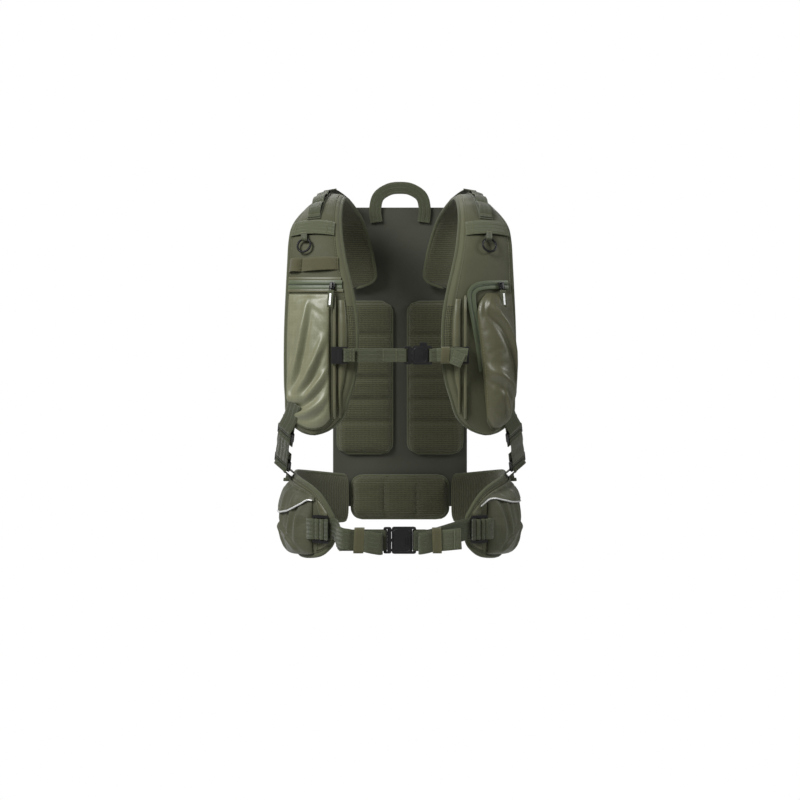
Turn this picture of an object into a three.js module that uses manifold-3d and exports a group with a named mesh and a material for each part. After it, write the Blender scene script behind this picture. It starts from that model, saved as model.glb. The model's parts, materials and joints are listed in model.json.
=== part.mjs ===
import * as THREE from 'three';
import { mergeVertices } from 'three/addons/utils/BufferGeometryUtils.js';
import Module from 'manifold-3d';

const wasm = await Module();
wasm.setup();

// ---------------------------------------------------------------------------
// Driving dimensions, millimetres.
// +Z up, the wearer faces -Y, the origin is midway between the two shoulder crowns.
// "left" and "right" in node names are the wearer's: _l is on +X, _r is on -X.
// ---------------------------------------------------------------------------
const SEAM_GAP = 0.5;        // clearance between stacked or sewn layers
const SLIDE_GAP = 0.45;      // clearance of a moulded part that slides in another
const WEB_THICK = 1.6;       // nylon webbing
const PAD_FOAM = 11;         // strap and wing foam with its covers
const STERNUM_WEB = 20;      // sternum webbing width
const BELT_WEB = 32;         // waist webbing width
const STRAP_WEB = 25;        // bands, adjusters and lifters

// Strap pad: height, then inner edge x and y, then outer edge x and y, on the wearer's side.
const STRAP_STATIONS = [
  { z: -346, xi: 116, yi: -116, xo: 140, yo: -107 },
  { z: -332, xi: 98, yi: -127, xo: 156, yo: -103 },
  { z: -300, xi: 77, yi: -135, xo: 167, yo: -100 },
  { z: -262, xi: 66, yi: -138, xo: 169, yo: -98 },
  { z: -220, xi: 63, yi: -139, xo: 169, yo: -96 },
  { z: -178, xi: 64, yi: -137, xo: 168, yo: -94 },
  { z: -137, xi: 71, yi: -130, xo: 166, yo: -89 },
  { z: -94, xi: 82, yi: -113, xo: 164, yo: -79 },
  { z: -50, xi: 89, yi: -87, xo: 161, yo: -62 },
  { z: -16, xi: 89, yi: -52, xo: 150, yo: -38, dzo: -16 },
  { z: 1, xi: 84, yi: -6, xo: 136, yo: -4, dzo: -20 },
  { z: -8, xi: 73, yi: 44, xo: 122, yo: 44, dzo: -20 },
  { z: -34, xi: 58, yi: 84, xo: 106, yo: 82, dzo: -16 },
  { z: -80, xi: 44, yi: 103, xo: 91, yo: 100, dzo: -10 },
  { z: -134, xi: 36, yi: 110, xo: 83, yo: 109, dzo: -2 },
];
const PAD_BOW = 6;           // crown of the pad across its width

const RAIL_X = 97;           // the sternum rails stand upright at this distance from the middle
const RAIL_R = 2.2;
const RAIL_LIFT = 2;         // the rail stands off the pad so a clip can reach round it
const RAIL_TOP_Z = -158;
const RAIL_LOW_Z = -312;

const ZIP_Z = -131;          // height of the chest zips
const ZIP_TAPE = 15;
const ZIP_THICK = 1.8;

const STERNUM_Z = -233;
const STERNUM_BUCKLE_X = 24; // the buckle hangs off centre on the wearer's left
const BELT_Z = -509;
const BELT_SIDE_Z = -495;

const WAIST_A = 156;         // half width of the waist the wings wrap
const WAIST_B = 125;         // half depth of it
const WAIST_Y = 5;
const WING_STATIONS = [
  { deg: 38, top: -478, low: -510 },
  { deg: 41, top: -462, low: -519 },
  { deg: 46, top: -448, low: -527 },
  { deg: 54, top: -434, low: -536 },
  { deg: 66, top: -425, low: -538 },
  { deg: 80, top: -418, low: -530 },
  { deg: 96, top: -415, low: -516 },
  { deg: 115, top: -418, low: -506 },
  { deg: 134, top: -423, low: -499 },
  { deg: 150, top: -428, low: -496 },
];

const PANEL_W = 210;
const PANEL_TOP = -8;
const PANEL_LOW = -476;
const PANEL_Y = 129;         // front face of the frame sheet
const PANEL_T = 5;
const CARGO_DEEP = 42;
const HANDLE_WEB = 16;
const HANDLE_RISE = 24;        // of the haul loop's middle line above the sheet's top

// ---------------------------------------------------------------------------
// General helpers
// ---------------------------------------------------------------------------
const vec = (x, y, z) => new THREE.Vector3(x, y, z);

function signedVolume(geometry) {
  const position = geometry.getAttribute('position');
  const index = geometry.getIndex();
  let sum = 0;
  for (let k = 0; k < index.count; k += 3) {
    const a = vec().fromBufferAttribute(position, index.getX(k));
    const b = vec().fromBufferAttribute(position, index.getX(k + 1));
    const c = vec().fromBufferAttribute(position, index.getX(k + 2));
    sum += a.dot(b.cross(c));
  }
  return sum / 6;
}

function facingOut(geometry) {
  if (signedVolume(geometry) > 0) return geometry;
  const index = geometry.getIndex();
  for (let k = 0; k < index.count; k += 3) {
    const first = index.getX(k);
    index.setX(k, index.getX(k + 1));
    index.setX(k + 1, first);
  }
  return geometry;
}

// A closed body over a grid: surface(u, v, level), u and v from 0 to 1, level 0 under and 1 on top.
function slab(nu, nv, surface) {
  const points = [];
  const triangles = [];
  const row = nv + 1;
  const layer = (nu + 1) * row;
  for (const level of [0, 1]) {
    for (let i = 0; i <= nu; i += 1) {
      for (let j = 0; j <= nv; j += 1) {
        const p = surface(i / nu, j / nv, level);
        points.push(p.x, p.y, p.z);
      }
    }
  }
  const quad = (a, b, c, d) => triangles.push(a, b, c, a, c, d);
  const at = (i, j, level) => level * layer + i * row + j;
  for (let i = 0; i < nu; i += 1) {
    for (let j = 0; j < nv; j += 1) {
      quad(at(i, j, 1), at(i + 1, j, 1), at(i + 1, j + 1, 1), at(i, j + 1, 1));
      quad(at(i, j, 0), at(i, j + 1, 0), at(i + 1, j + 1, 0), at(i + 1, j, 0));
    }
  }
  for (let i = 0; i < nu; i += 1) {
    quad(at(i, 0, 0), at(i + 1, 0, 0), at(i + 1, 0, 1), at(i, 0, 1));
    quad(at(i, nv, 1), at(i + 1, nv, 1), at(i + 1, nv, 0), at(i, nv, 0));
  }
  for (let j = 0; j < nv; j += 1) {
    quad(at(0, j, 1), at(0, j + 1, 1), at(0, j + 1, 0), at(0, j, 0));
    quad(at(nu, j, 0), at(nu, j + 1, 0), at(nu, j + 1, 1), at(nu, j, 1));
  }
  const geometry = new THREE.BufferGeometry();
  geometry.setAttribute('position', new THREE.Float32BufferAttribute(points, 3));
  geometry.setIndex(triangles);
  return facingOut(geometry);
}

// A flat strap along a line of points, its width along `across`, centred on the line.
function ribbon(points, across, width, thick) {
  const last = points.length - 1;
  const dir = (i) => points[Math.min(i + 1, last)].clone().sub(points[Math.max(i - 1, 0)]).normalize();
  return slab(last, 1, (u, v, level) => {
    const i = Math.round(u * last);
    const side = (Array.isArray(across) ? across[i] : across).clone().normalize();
    const normal = dir(i).cross(side).normalize();
    return points[i].clone()
      .addScaledVector(side, (v - 0.5) * width)
      .addScaledVector(normal, (level - 0.5) * thick);
  });
}

function smooth(points, count) {
  const curve = new THREE.CatmullRomCurve3(points, false, 'centripetal');
  return curve.getSpacedPoints(count);
}

function box(width, depth, height, x = 0, y = 0, z = 0) {
  const geometry = new THREE.BoxGeometry(width, depth, height);
  geometry.translate(x, y, z);
  return geometry;
}

// A plate in the XZ plane with rounded corners, its thickness along Y, centred on the origin.
function plate(width, height, thick, corner) {
  const shape = new THREE.Shape();
  const hw = width / 2;
  const hh = height / 2;
  shape.moveTo(-hw + corner, -hh);
  shape.lineTo(hw - corner, -hh);
  shape.quadraticCurveTo(hw, -hh, hw, -hh + corner);
  shape.lineTo(hw, hh - corner);
  shape.quadraticCurveTo(hw, hh, hw - corner, hh);
  shape.lineTo(-hw + corner, hh);
  shape.quadraticCurveTo(-hw, hh, -hw, hh - corner);
  shape.lineTo(-hw, -hh + corner);
  shape.quadraticCurveTo(-hw, -hh, -hw + corner, -hh);
  const geometry = new THREE.ExtrudeGeometry(shape, { depth: thick, bevelEnabled: false, curveSegments: 3 });
  geometry.translate(0, 0, -thick / 2);
  geometry.rotateX(Math.PI / 2);
  return geometry;
}

function solid(geometry) {
  geometry.deleteAttribute('normal');
  geometry.deleteAttribute('uv');
  const merged = mergeVertices(geometry, 1e-4);
  return new wasm.Manifold(new wasm.Mesh({
    numProp: 3,
    vertProperties: Float32Array.from(merged.getAttribute('position').array),
    triVerts: Uint32Array.from(merged.getIndex().array),
  }));
}

function carve(base, adds, cuts) {
  let body = solid(base);
  for (const add of adds) body = body.add(solid(add));
  for (const cut of cuts) body = body.subtract(solid(cut));
  const mesh = body.getMesh();
  const geometry = new THREE.BufferGeometry();
  geometry.setAttribute('position', new THREE.BufferAttribute(Float32Array.from(mesh.vertProperties), 3));
  geometry.setIndex(Array.from(mesh.triVerts));
  return facingOut(geometry);
}

function mirrored(geometry) {
  const copy = geometry.clone();
  copy.scale(-1, 1, 1);
  return facingOut(copy);
}

// Axes of a local frame whose -Y points outward from the wearer.
function standing(origin, along, outward) {
  const x = along.clone().normalize();
  const y = outward.clone().negate().normalize();
  const z = x.clone().cross(y).normalize();
  y.copy(z.clone().cross(x));
  return new THREE.Matrix4().makeBasis(x, y, z).setPosition(origin);
}

const model = new THREE.Group();
model.name = 'technical_vest_pack_harness';

const FINISH = {
  nylon: 0x6e6e50, shell: 0x5b5b49, webbing: 0x59603f, elastic: 0x6f6840, zip: 0x647052,
  mesh: 0x4b4a2c, plastic: 0x1a1a1c, metal: 0x26262a, sheet: 0x2c2d26,
};

function add(name, geometry, finish) {
  const material = new THREE.MeshStandardMaterial({ color: FINISH[finish], roughness: 0.7 });
  material.name = finish;
  const clean = geometry.clone();
  clean.deleteAttribute('normal');
  clean.deleteAttribute('uv');
  const mesh = new THREE.Mesh(clean.getIndex() ? clean : mergeVertices(clean, 1e-4), material);
  mesh.name = name;
  model.add(mesh);
}

function addPair(stem, geometry, finish) {
  add(`${stem}_l`, geometry, finish);
  add(`${stem}_r`, mirrored(geometry), finish);
}

// ---------------------------------------------------------------------------
// The strap pad as a surface: station s runs from the chest end over the shoulder,
// v from the inner to the outer edge, h is the height above the wearer's side.
// ---------------------------------------------------------------------------
const lastStation = STRAP_STATIONS.length - 1;
const innerEdge = new THREE.CatmullRomCurve3(
  STRAP_STATIONS.map((p) => vec(p.xi, p.yi, p.z)), false, 'centripetal');
const outerEdge = new THREE.CatmullRomCurve3(
  STRAP_STATIONS.map((p) => vec(p.xo, p.yo, p.z + (p.dzo ?? 0))), false, 'centripetal');

function padUnderside(s, v) {
  const t = THREE.MathUtils.clamp(s / lastStation, 0, 1);
  return innerEdge.getPoint(t).lerp(outerEdge.getPoint(t), v);
}

function padNormal(s, v) {
  const step = 0.05;
  const along = padUnderside(s + step, v).sub(padUnderside(s - step, v));
  const across = padUnderside(s, 1).sub(padUnderside(s, 0)).normalize();
  const flat = across.clone().cross(along).normalize();
  const lean = (v - 0.5) * 0.45;
  return flat.addScaledVector(across, lean).normalize();
}

function padPoint(s, v, h) {
  const bow = PAD_BOW * 4 * v * (1 - v);
  const mid = padNormal(s, 0.5);
  return padUnderside(s, v).addScaledVector(mid, bow).addScaledVector(padNormal(s, v), h);
}

// Station whose outer face is at height z, on the front of the pad.
function stationAt(z, v, h = PAD_FOAM) {
  let low = 0;
  let high = 9.5;
  for (let k = 0; k < 30; k += 1) {
    const mid = (low + high) / 2;
    if (padPoint(mid, v, h).z < z) low = mid;
    else high = mid;
  }
  return (low + high) / 2;
}

// A strap lying on the pad along points given as [height z, v].
function padRibbon(line, width, thick, lift = 0, count = 6) {
  const stations = line.map(([z, v]) => vec(stationAt(z, v), v, 0));
  const path = smooth(stations, count);
  const height = PAD_FOAM + SEAM_GAP + lift + thick / 2;
  const points = path.map((p) => padPoint(p.x, p.y, height));
  const sides = points.map((p, i) => {
    const before = points[Math.max(i - 1, 0)];
    const after = points[Math.min(i + 1, points.length - 1)];
    return padNormal(path[i].x, path[i].y).cross(after.clone().sub(before)).normalize();
  });
  return ribbon(points, sides, width, thick);
}

function buildStrapPads() {
  const geometry = slab(28, 4, (u, v, level) => {
    const edge = Math.abs(v - 0.5) === 0.5 ? 0.75 : 1;
    return padPoint(u * lastStation, v, level * PAD_FOAM * edge);
  });
  const tab = sewnTab(ADJUSTER.top, -1, vec(157, -109, -321));
  addPair('strap_pad', carve(geometry, [tab], []), 'shell');
}

// Dome of a pocket over the pad between two heights and two places across.
function pocketOnPad(topZ, lowZ, vInner, vOuter, rim, dome) {
  const low = stationAt(lowZ, 0.6);
  const top = stationAt(topZ, 0.6);
  return slab(14, 6, (u, v, level) => {
    const rise = 1 - (1 - u) ** 1.6;
    const swell = Math.sin(Math.PI * rise) * Math.sin(Math.PI * v) ** 0.7;
    const taper = Math.max(0, 1 - u / 0.22);
    const inner = vInner + 0.16 * taper * taper;
    const outer = vOuter - 0.1 * taper * taper;
    const height = PAD_FOAM + SEAM_GAP + level * (rim + (dome - rim) * swell);
    return padPoint(low + (top - low) * u, inner + (outer - inner) * v, height);
  });
}

function buildChestPockets() {
  add('zip_pocket_r', mirrored(pocketOnPad(-143, -338, 0.36, 0.97, 2.5, 13)), 'nylon');
  add('bottle_pocket_l', pocketOnPad(-143, -338, 0.48, 0.97, 2.5, 27), 'nylon');
}

// Middle of the rail at a height: the pad's surface followed at a constant x.
function railPoint(z) {
  const height = PAD_FOAM + RAIL_LIFT + RAIL_R;
  let inner = 0;
  let outer = 1;
  for (let k = 0; k < 24; k += 1) {
    const mid = (inner + outer) / 2;
    if (padPoint(stationAt(z, mid, height), mid, height).x < RAIL_X) inner = mid;
    else outer = mid;
  }
  return padPoint(stationAt(z, inner, height), inner, height);
}

function buildRails() {
  const points = [];
  for (let k = 0; k <= 14; k += 1) {
    points.push(railPoint(RAIL_LOW_Z + (RAIL_TOP_Z - RAIL_LOW_Z) * k / 14));
  }
  const around = new THREE.Shape();
  around.absarc(0, 0, RAIL_R, 0, Math.PI * 2, false);
  const geometry = new THREE.ExtrudeGeometry(around, {
    steps: 14, curveSegments: 6, bevelEnabled: false,
    extrudePath: new THREE.CatmullRomCurve3(points, false, 'centripetal'),
  });
  addPair('sternum_rail', mergeVertices(stripped(geometry), 1e-3), 'nylon');
}

function stripped(geometry) {
  geometry.deleteAttribute('normal');
  geometry.deleteAttribute('uv');
  return geometry;
}

const BAND_Z = -44;
const ELASTIC_Z = -98;
const RING_R = 10.5;
const RING_WIRE = 1.7;
const RING_TAB_W = 9;
const RING_TAB_LONG = 5;       // the loop's ends are sewn this far above the ring's pin
const RING_V = { l: 0.5, r: 0.62 };
const RING_PIN_Z = -62;

const DAISY_WEB = 20;
const ELASTIC_WEB = 20;
const ELASTIC_THICK = 1.4;

function buildWebbingOnPads() {
  const band = [[BAND_Z, 0.03], [BAND_Z - 1, 0.5], [BAND_Z, 0.97]];
  addPair('cross_band', padRibbon(band, STRAP_WEB, WEB_THICK), 'webbing');
  const daisy = [[BAND_Z + 18, 0.56], [-14, 0.55], [1, 0.54]];
  addPair('daisy_strip', padRibbon(daisy, DAISY_WEB, WEB_THICK * 1.6), 'webbing');
  const elastic = [[ELASTIC_Z, 0.02], [ELASTIC_Z, 0.5], [ELASTIC_Z, 0.98]];
  add('elastic_band_r', mirrored(padRibbon(elastic, ELASTIC_WEB, ELASTIC_THICK)), 'elastic');
}

// The ring hangs in a webbing loop: the pin point is where its wire passes the loop.
function ringPin(key) {
  const v = RING_V[key];
  const s = stationAt(RING_PIN_Z, v);
  const normal = padNormal(s, v);
  const across = padUnderside(s, 1).sub(padUnderside(s, 0)).normalize();
  across.addScaledVector(normal, -across.dot(normal)).normalize();
  const down = across.clone().cross(normal).normalize();
  if (down.z > 0) down.negate();
  const pin = padPoint(s, v, PAD_FOAM + SEAM_GAP + WEB_THICK + RING_WIRE + 1.4);
  return { pin, normal, across, down };
}

function ringFor(key) {
  const { pin, across, down } = ringPin(key);
  const torus = new THREE.TorusGeometry(RING_R, RING_WIRE, 8, 20);
  const up = down.clone().negate();
  const basis = new THREE.Matrix4().makeBasis(across, up, across.clone().cross(up));
  basis.setPosition(pin.clone().addScaledVector(down, RING_R));
  torus.applyMatrix4(basis);
  return mergeVertices(stripped(torus), 1e-3);
}

function ringTabFor(key) {
  const { pin, normal, across, down } = ringPin(key);
  const radius = RING_WIRE + 1.5 + WEB_THICK / 2;
  const under = pin.clone().addScaledVector(normal, -radius);
  const points = [
    under.clone().addScaledVector(down, -RING_TAB_LONG),
    under.clone().addScaledVector(down, -2),
  ];
  for (let k = 0; k <= 6; k += 1) {
    const angle = Math.PI * k / 6;
    points.push(pin.clone()
      .addScaledVector(down, Math.sin(angle) * radius)
      .addScaledVector(normal, -Math.cos(angle) * radius));
  }
  const over = pin.clone().addScaledVector(normal, radius);
  points.push(over.clone().addScaledVector(down, -2));
  points.push(over.clone().addScaledVector(down, -RING_TAB_LONG).addScaledVector(normal, -radius * 0.55));
  return ribbon(points, across, RING_TAB_W, WEB_THICK);
}

function buildRings() {
  add('ring_tab_l', ringTabFor('l'), 'webbing');
  add('ring_tab_r', mirrored(ringTabFor('r')), 'webbing');
  add('ring_l', ringFor('l'), 'metal');
  add('ring_r', mirrored(ringFor('r')), 'metal');
}

// ---------------------------------------------------------------------------
// Zips: a tape on the pad, a slider with a bridge, and a pull that hangs from it
// ---------------------------------------------------------------------------
const SLIDER_W = 8;
const SLIDER_H = 11;
const SLIDER_BASE = 3;
const BRIDGE_H = 4.6;
const BRIDGE_W = 2.6;
const PULL_W = 9;
const PULL_L = 34;
const PULL_THICK = 1.4;
const SLIDER_AT = { l: 0.74, r: 0.24 };

function sliderFrame(key) {
  const v = SLIDER_AT[key];
  const s = stationAt(ZIP_Z, v);
  const normal = padNormal(s, v);
  const across = padUnderside(s, 1).sub(padUnderside(s, 0)).normalize();
  across.addScaledVector(normal, -across.dot(normal)).normalize();
  const base = padPoint(s, v, PAD_FOAM + SEAM_GAP + ZIP_THICK + 1.3);
  return standing(base, across, normal);
}

function sliderGeometry() {
  const body = plate(SLIDER_W, SLIDER_H, SLIDER_BASE, 2).translate(0, -SLIDER_BASE / 2, 0);
  const bridge = box(BRIDGE_W, BRIDGE_H, SLIDER_H - 2.4, 0, -SLIDER_BASE - BRIDGE_H / 2 + 0.2, 0);
  const eye = box(BRIDGE_W * 2, 2.8, 4.2, 0, -SLIDER_BASE - BRIDGE_H / 2 + 0.2, 0);
  return carve(body, [bridge], [eye]);
}

const PIN_OUT = SLIDER_BASE + BRIDGE_H / 2 - 0.2;

function pullGeometry() {
  const bar = 1.4;
  const top = bar / 2;
  const sheet = plate(PULL_W, PULL_L, PULL_THICK, 1.6).translate(0, -PIN_OUT, top - PULL_L / 2);
  const window = box(BRIDGE_W + 2.4, PULL_THICK * 3, 7.6, 0, -PIN_OUT, top - bar - 7.6 / 2);
  return carve(sheet, [], [window]);
}

function buildZips() {
  const straight = padRibbon([[ZIP_Z, 0.16], [ZIP_Z, 0.5], [ZIP_Z, 0.97]], ZIP_TAPE, ZIP_THICK);
  const bent = padRibbon(
    [[ZIP_Z, 0.86], [ZIP_Z, 0.6], [ZIP_Z - 3, 0.46], [ZIP_Z - 26, 0.38], [-200, 0.385], [-262, 0.395]],
    ZIP_TAPE * 0.72, ZIP_THICK, 0, 14);
  add('zip_tape_r', mirrored(straight), 'zip');
  add('zip_tape_l', bent, 'zip');
  for (const key of ['l', 'r']) {
    const frame = sliderFrame(key);
    const slider = sliderGeometry().applyMatrix4(frame);
    const pull = pullGeometry().applyMatrix4(frame);
    add(`zip_slider_${key}`, key === 'l' ? slider : mirrored(slider), 'plastic');
    add(`zip_pull_${key}`, key === 'l' ? pull : mirrored(pull), 'nylon');
  }
}

// ---------------------------------------------------------------------------
// Side-release buckles: the socket's mouth faces -X, the plug enters it from there
// ---------------------------------------------------------------------------
const BAR = 3;             // width of a webbing bar, along the webbing
const BAR_THIN = 2.2;      // its thickness where the webbing goes round
const SLOT = 3.8;

// Radius of webbing's mid-line round a bar of the given thickness.
function turnRadius(barThick) {
  return Math.hypot(BAR, barThick) / 2 + SEAM_GAP + WEB_THICK / 2;
}

function buckleSizes(web) {
  const high = web + 8;
  const socketLong = web * 0.55 + 19;
  return {
    web, high, socketLong,
    thick: web * 0.12 + 6.6,
    deep: socketLong - BAR - SLOT - 4,
    mouthThick: web * 0.05 + 3.4,
    baseLong: BAR + SLOT + 5,
  };
}

function socketGeometry(size) {
  const { web, high, socketLong, thick, deep, mouthThick } = size;
  const shell = plate(socketLong, high, thick, 4).translate(socketLong / 2, 0, 0);
  const mouth = box(deep * 2, mouthThick, high - 6, 0, 0, 0);
  const window = box(deep * 0.42, mouthThick, high + 4, deep * 0.6, 0, 0);
  const slot = box(SLOT, thick * 2, web + 1.2, socketLong - BAR - SLOT / 2, 0, 0);
  const thinBar = box(BAR * 2.6, thick, web + 1.2, socketLong - BAR / 2, (thick + BAR_THIN) / 2, 0);
  const thinFront = thinBar.clone().translate(0, -(thick + BAR_THIN), 0);
  return carve(shell, [], [mouth, window, slot, thinBar, thinFront]);
}

function plugGeometry(size) {
  const { web, high, thick, deep, mouthThick, baseLong } = size;
  const base = plate(baseLong, high - 1, thick, 3).translate(-baseLong / 2 - SLIDE_GAP, 0, 0);
  const armThick = mouthThick - 2 * SLIDE_GAP;
  const reach = deep - 2;
  const armZ = (high - 6) / 2 - SLIDE_GAP - 1.8;
  const arm = box(reach + 1, armThick, 3.6, reach / 2 - 0.5, 0, armZ);
  const otherArm = arm.clone().translate(0, 0, -2 * armZ);
  const tongue = box(reach * 0.8 + 1, armThick, 4, reach * 0.4 - 0.5, 0, 0);
  const slot = box(SLOT, thick * 2, web + 1.2, -SLIDE_GAP - baseLong + BAR + SLOT / 2, 0, 0);
  const thinX = -SLIDE_GAP - baseLong + BAR / 2;
  const thinBar = box(BAR * 2.6, thick, web + 1.2, thinX, (thick + BAR_THIN) / 2, 0);
  const thinFront = thinBar.clone().translate(0, -(thick + BAR_THIN), 0);
  return carve(base, [arm, otherArm, tongue], [slot, thinBar, thinFront]);
}

// Webbing round a bar that stands along Z: front run, round the bar, back run.
// `way` is +1 when the webbing leaves toward +X, `front` and `back` are run lengths.
function loopPoints(barX, y, z, way, front, back) {
  const radius = turnRadius(BAR_THIN);
  const points = [vec(barX + way * front, y - radius, z)];
  for (let k = 0; k <= 8; k += 1) {
    const angle = Math.PI * k / 8;
    points.push(vec(barX - way * Math.sin(angle) * radius, y - Math.cos(angle) * radius, z));
  }
  points.push(vec(barX + way * back, y + radius, z));
  return points;
}

const UP = vec(0, 0, 1);

function sternumLine() {
  const rail = railPoint(STERNUM_Z);
  return { railX: rail.x, railY: rail.y, webY: rail.y - 7.5 };
}

const STERNUM_TRAVEL = 20;   // how far the plug backs out along its webbing
const BELT_TRAVEL = 22;
const RUN_START = 6;         // webbing's end to the plug's bar when the plug is fully back
const LAP = 8;               // length the doubled webbing lies over the run
const HOOK_LONG = 19;
const HOOK_HIGH = STERNUM_WEB + 5;

// Hook: a clip round the rail, and a bar on its inner side that the webbing goes round.
function hookGeometry() {
  const { railX, railY, webY } = sternumLine();
  const clearance = 0.9;
  const clip = box(10, 8.4, HOOK_HIGH, railX, railY - 2, STERNUM_Z);
  const bore = new THREE.CylinderGeometry(RAIL_R + clearance, RAIL_R + clearance, HOOK_HIGH * 2, 14);
  bore.rotateX(Math.PI / 2).translate(railX, railY, STERNUM_Z);
  const wing = box(HOOK_LONG - 4, 4.4, HOOK_HIGH, railX - 5 - (HOOK_LONG - 4) / 2 + 1, webY, STERNUM_Z);
  const barX = hookBarX();
  const slot = box(SLOT, 20, STERNUM_WEB + 1.2, barX + BAR / 2 + SLOT / 2, webY, STERNUM_Z);
  const thin = box(BAR * 2.2, 6, STERNUM_WEB + 1.2, barX - BAR * 0.1, webY + 3 + BAR_THIN / 2, STERNUM_Z);
  const thinFront = thin.clone().translate(0, -(6 + BAR_THIN), 0);
  return carve(clip, [wing], [bore, slot, thin, thinFront]);
}

function hookBarX() {
  return sternumLine().railX - HOOK_LONG + BAR / 2 + 0.2;
}

function buildSternumStrap() {
  const { webY } = sternumLine();
  const size = buckleSizes(STERNUM_WEB);
  const barX = hookBarX();
  const seam = STERNUM_BUCKLE_X - 6;
  const place = new THREE.Matrix4().makeTranslation(seam, webY, STERNUM_Z);
  addPair('sternum_hook', hookGeometry(), 'plastic');
  const whistle = plate(11, 6, 5.2, 1.5).translate(size.socketLong * 0.55, 0, size.high / 2 + 2.2);
  const socket = carve(socketGeometry(size), [whistle], []);
  add('sternum_socket', socket.applyMatrix4(place), 'plastic');
  add('sternum_plug', plugGeometry(size).applyMatrix4(place), 'plastic');

  const socketBar = seam + size.socketLong - BAR / 2;
  const tailLong = 15;
  const left = loopPoints(socketBar, webY, STERNUM_Z, 1, 12, 0);
  left.pop();
  const hookEnd = loopPoints(barX, webY, STERNUM_Z, -1, tailLong, 0);
  hookEnd.pop();
  add('sternum_web_l', ribbon([...left, ...hookEnd.reverse()], UP, STERNUM_WEB, WEB_THICK), 'webbing');

  const plugBar = seam - SLIDE_GAP - size.baseLong + BAR / 2;
  const doubled = RUN_START + STERNUM_TRAVEL + LAP;
  const loop = loopPoints(plugBar, webY, STERNUM_Z, -1, doubled, doubled - 3);
  add('sternum_loop_r', ribbon(loop, UP, STERNUM_WEB, WEB_THICK), 'webbing');
  const rightBar = -barX;
  const rightHook = loopPoints(rightBar, webY, STERNUM_Z, 1, 13, 0);
  rightHook.pop();
  rightHook.push(vec(rightBar + 9, webY + turnRadius(BAR_THIN), STERNUM_Z));
  rightHook.push(vec(rightBar + 15, webY, STERNUM_Z));
  rightHook.push(vec(plugBar - RUN_START - STERNUM_TRAVEL, webY, STERNUM_Z));
  add('sternum_web_r', ribbon(rightHook, UP, STERNUM_WEB, WEB_THICK), 'webbing');
}

// ---------------------------------------------------------------------------
// Waist: wings round an ellipse, pockets on them, frames, webbing and buckle
// ---------------------------------------------------------------------------
function waistPoint(deg, z, h) {
  const angle = THREE.MathUtils.degToRad(deg);
  const normal = waistNormal(deg);
  return vec(WAIST_A * Math.sin(angle), WAIST_Y - WAIST_B * Math.cos(angle), z).addScaledVector(normal, h);
}

function waistNormal(deg) {
  const angle = THREE.MathUtils.degToRad(deg);
  return vec(Math.sin(angle) / WAIST_A, -Math.cos(angle) / WAIST_B, 0).normalize();
}

const wingCurve = new THREE.CatmullRomCurve3(
  WING_STATIONS.map((p) => vec(p.deg, p.top, p.low)), false, 'centripetal');

function wingPoint(deg, v, h) {
  let low = 0;
  let high = 1;
  for (let k = 0; k < 26; k += 1) {
    const mid = (low + high) / 2;
    if (wingCurve.getPoint(mid).x < deg) low = mid;
    else high = mid;
  }
  const edge = wingCurve.getPoint((low + high) / 2);
  return waistPoint(deg, edge.z + (edge.y - edge.z) * v, h);
}

const POCKET_FROM = 57.5;
const POCKET_TO = 97;

function pocketSwell(u, v) {
  const across = Math.max(0, Math.sin(Math.PI * u)) ** 0.6;
  const upright = Math.max(0, Math.sin(Math.PI * Math.min(1, v / 0.86))) ** 0.6;
  return 2.5 + 17 * across * upright;
}

function buildWings() {
  const first = WING_STATIONS[0].deg;
  const last = WING_STATIONS[WING_STATIONS.length - 1].deg;
  const wing = slab(26, 3, (u, v, level) => wingPoint(first + (last - first) * u, v, level * PAD_FOAM));
  const tab = sewnTab(ADJUSTER.low, 1, wingPoint(94, 0.92, PAD_FOAM / 2 - 1.5));
  addPair('hip_wing', carve(wing, [tab], []), 'shell');
  const pocket = slab(12, 8, (u, v, level) => {
    const height = PAD_FOAM + SEAM_GAP + level * pocketSwell(u, v * 0.86);
    return wingPoint(POCKET_FROM + (POCKET_TO - POCKET_FROM) * u, 0.06 + 0.78 * v, height);
  });
  addPair('hip_pocket', pocket, 'shell');
  const flap = slab(12, 4, (u, v, level) => {
    const across = 0.62 + 0.28 * v;
    const under = (across - 0.06) / 0.78 * 0.86;
    const lift = Math.max(pocketSwell(u, Math.min(under, 0.86)), 2.5);
    const height = PAD_FOAM + 2 * SEAM_GAP + 0.5 + lift + level * 2;
    return wingPoint(POCKET_FROM + (POCKET_TO - POCKET_FROM) * u, across, height);
  });
  addPair('hip_flap', flap, 'shell');
}

const FRAME_DEG = 44;
const FRAME_LONG = 29;
const FRAME_HIGH = BELT_WEB + 10;
const FRAME_THICK = 4;
const TAB_SEWN = 14;         // how far the anchor webbing runs back over the wing
const FRAME_OFF = PAD_FOAM + 6.5;

function alongWaist(deg) {
  const normal = waistNormal(deg);
  return vec(-normal.y, normal.x, 0);
}

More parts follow.
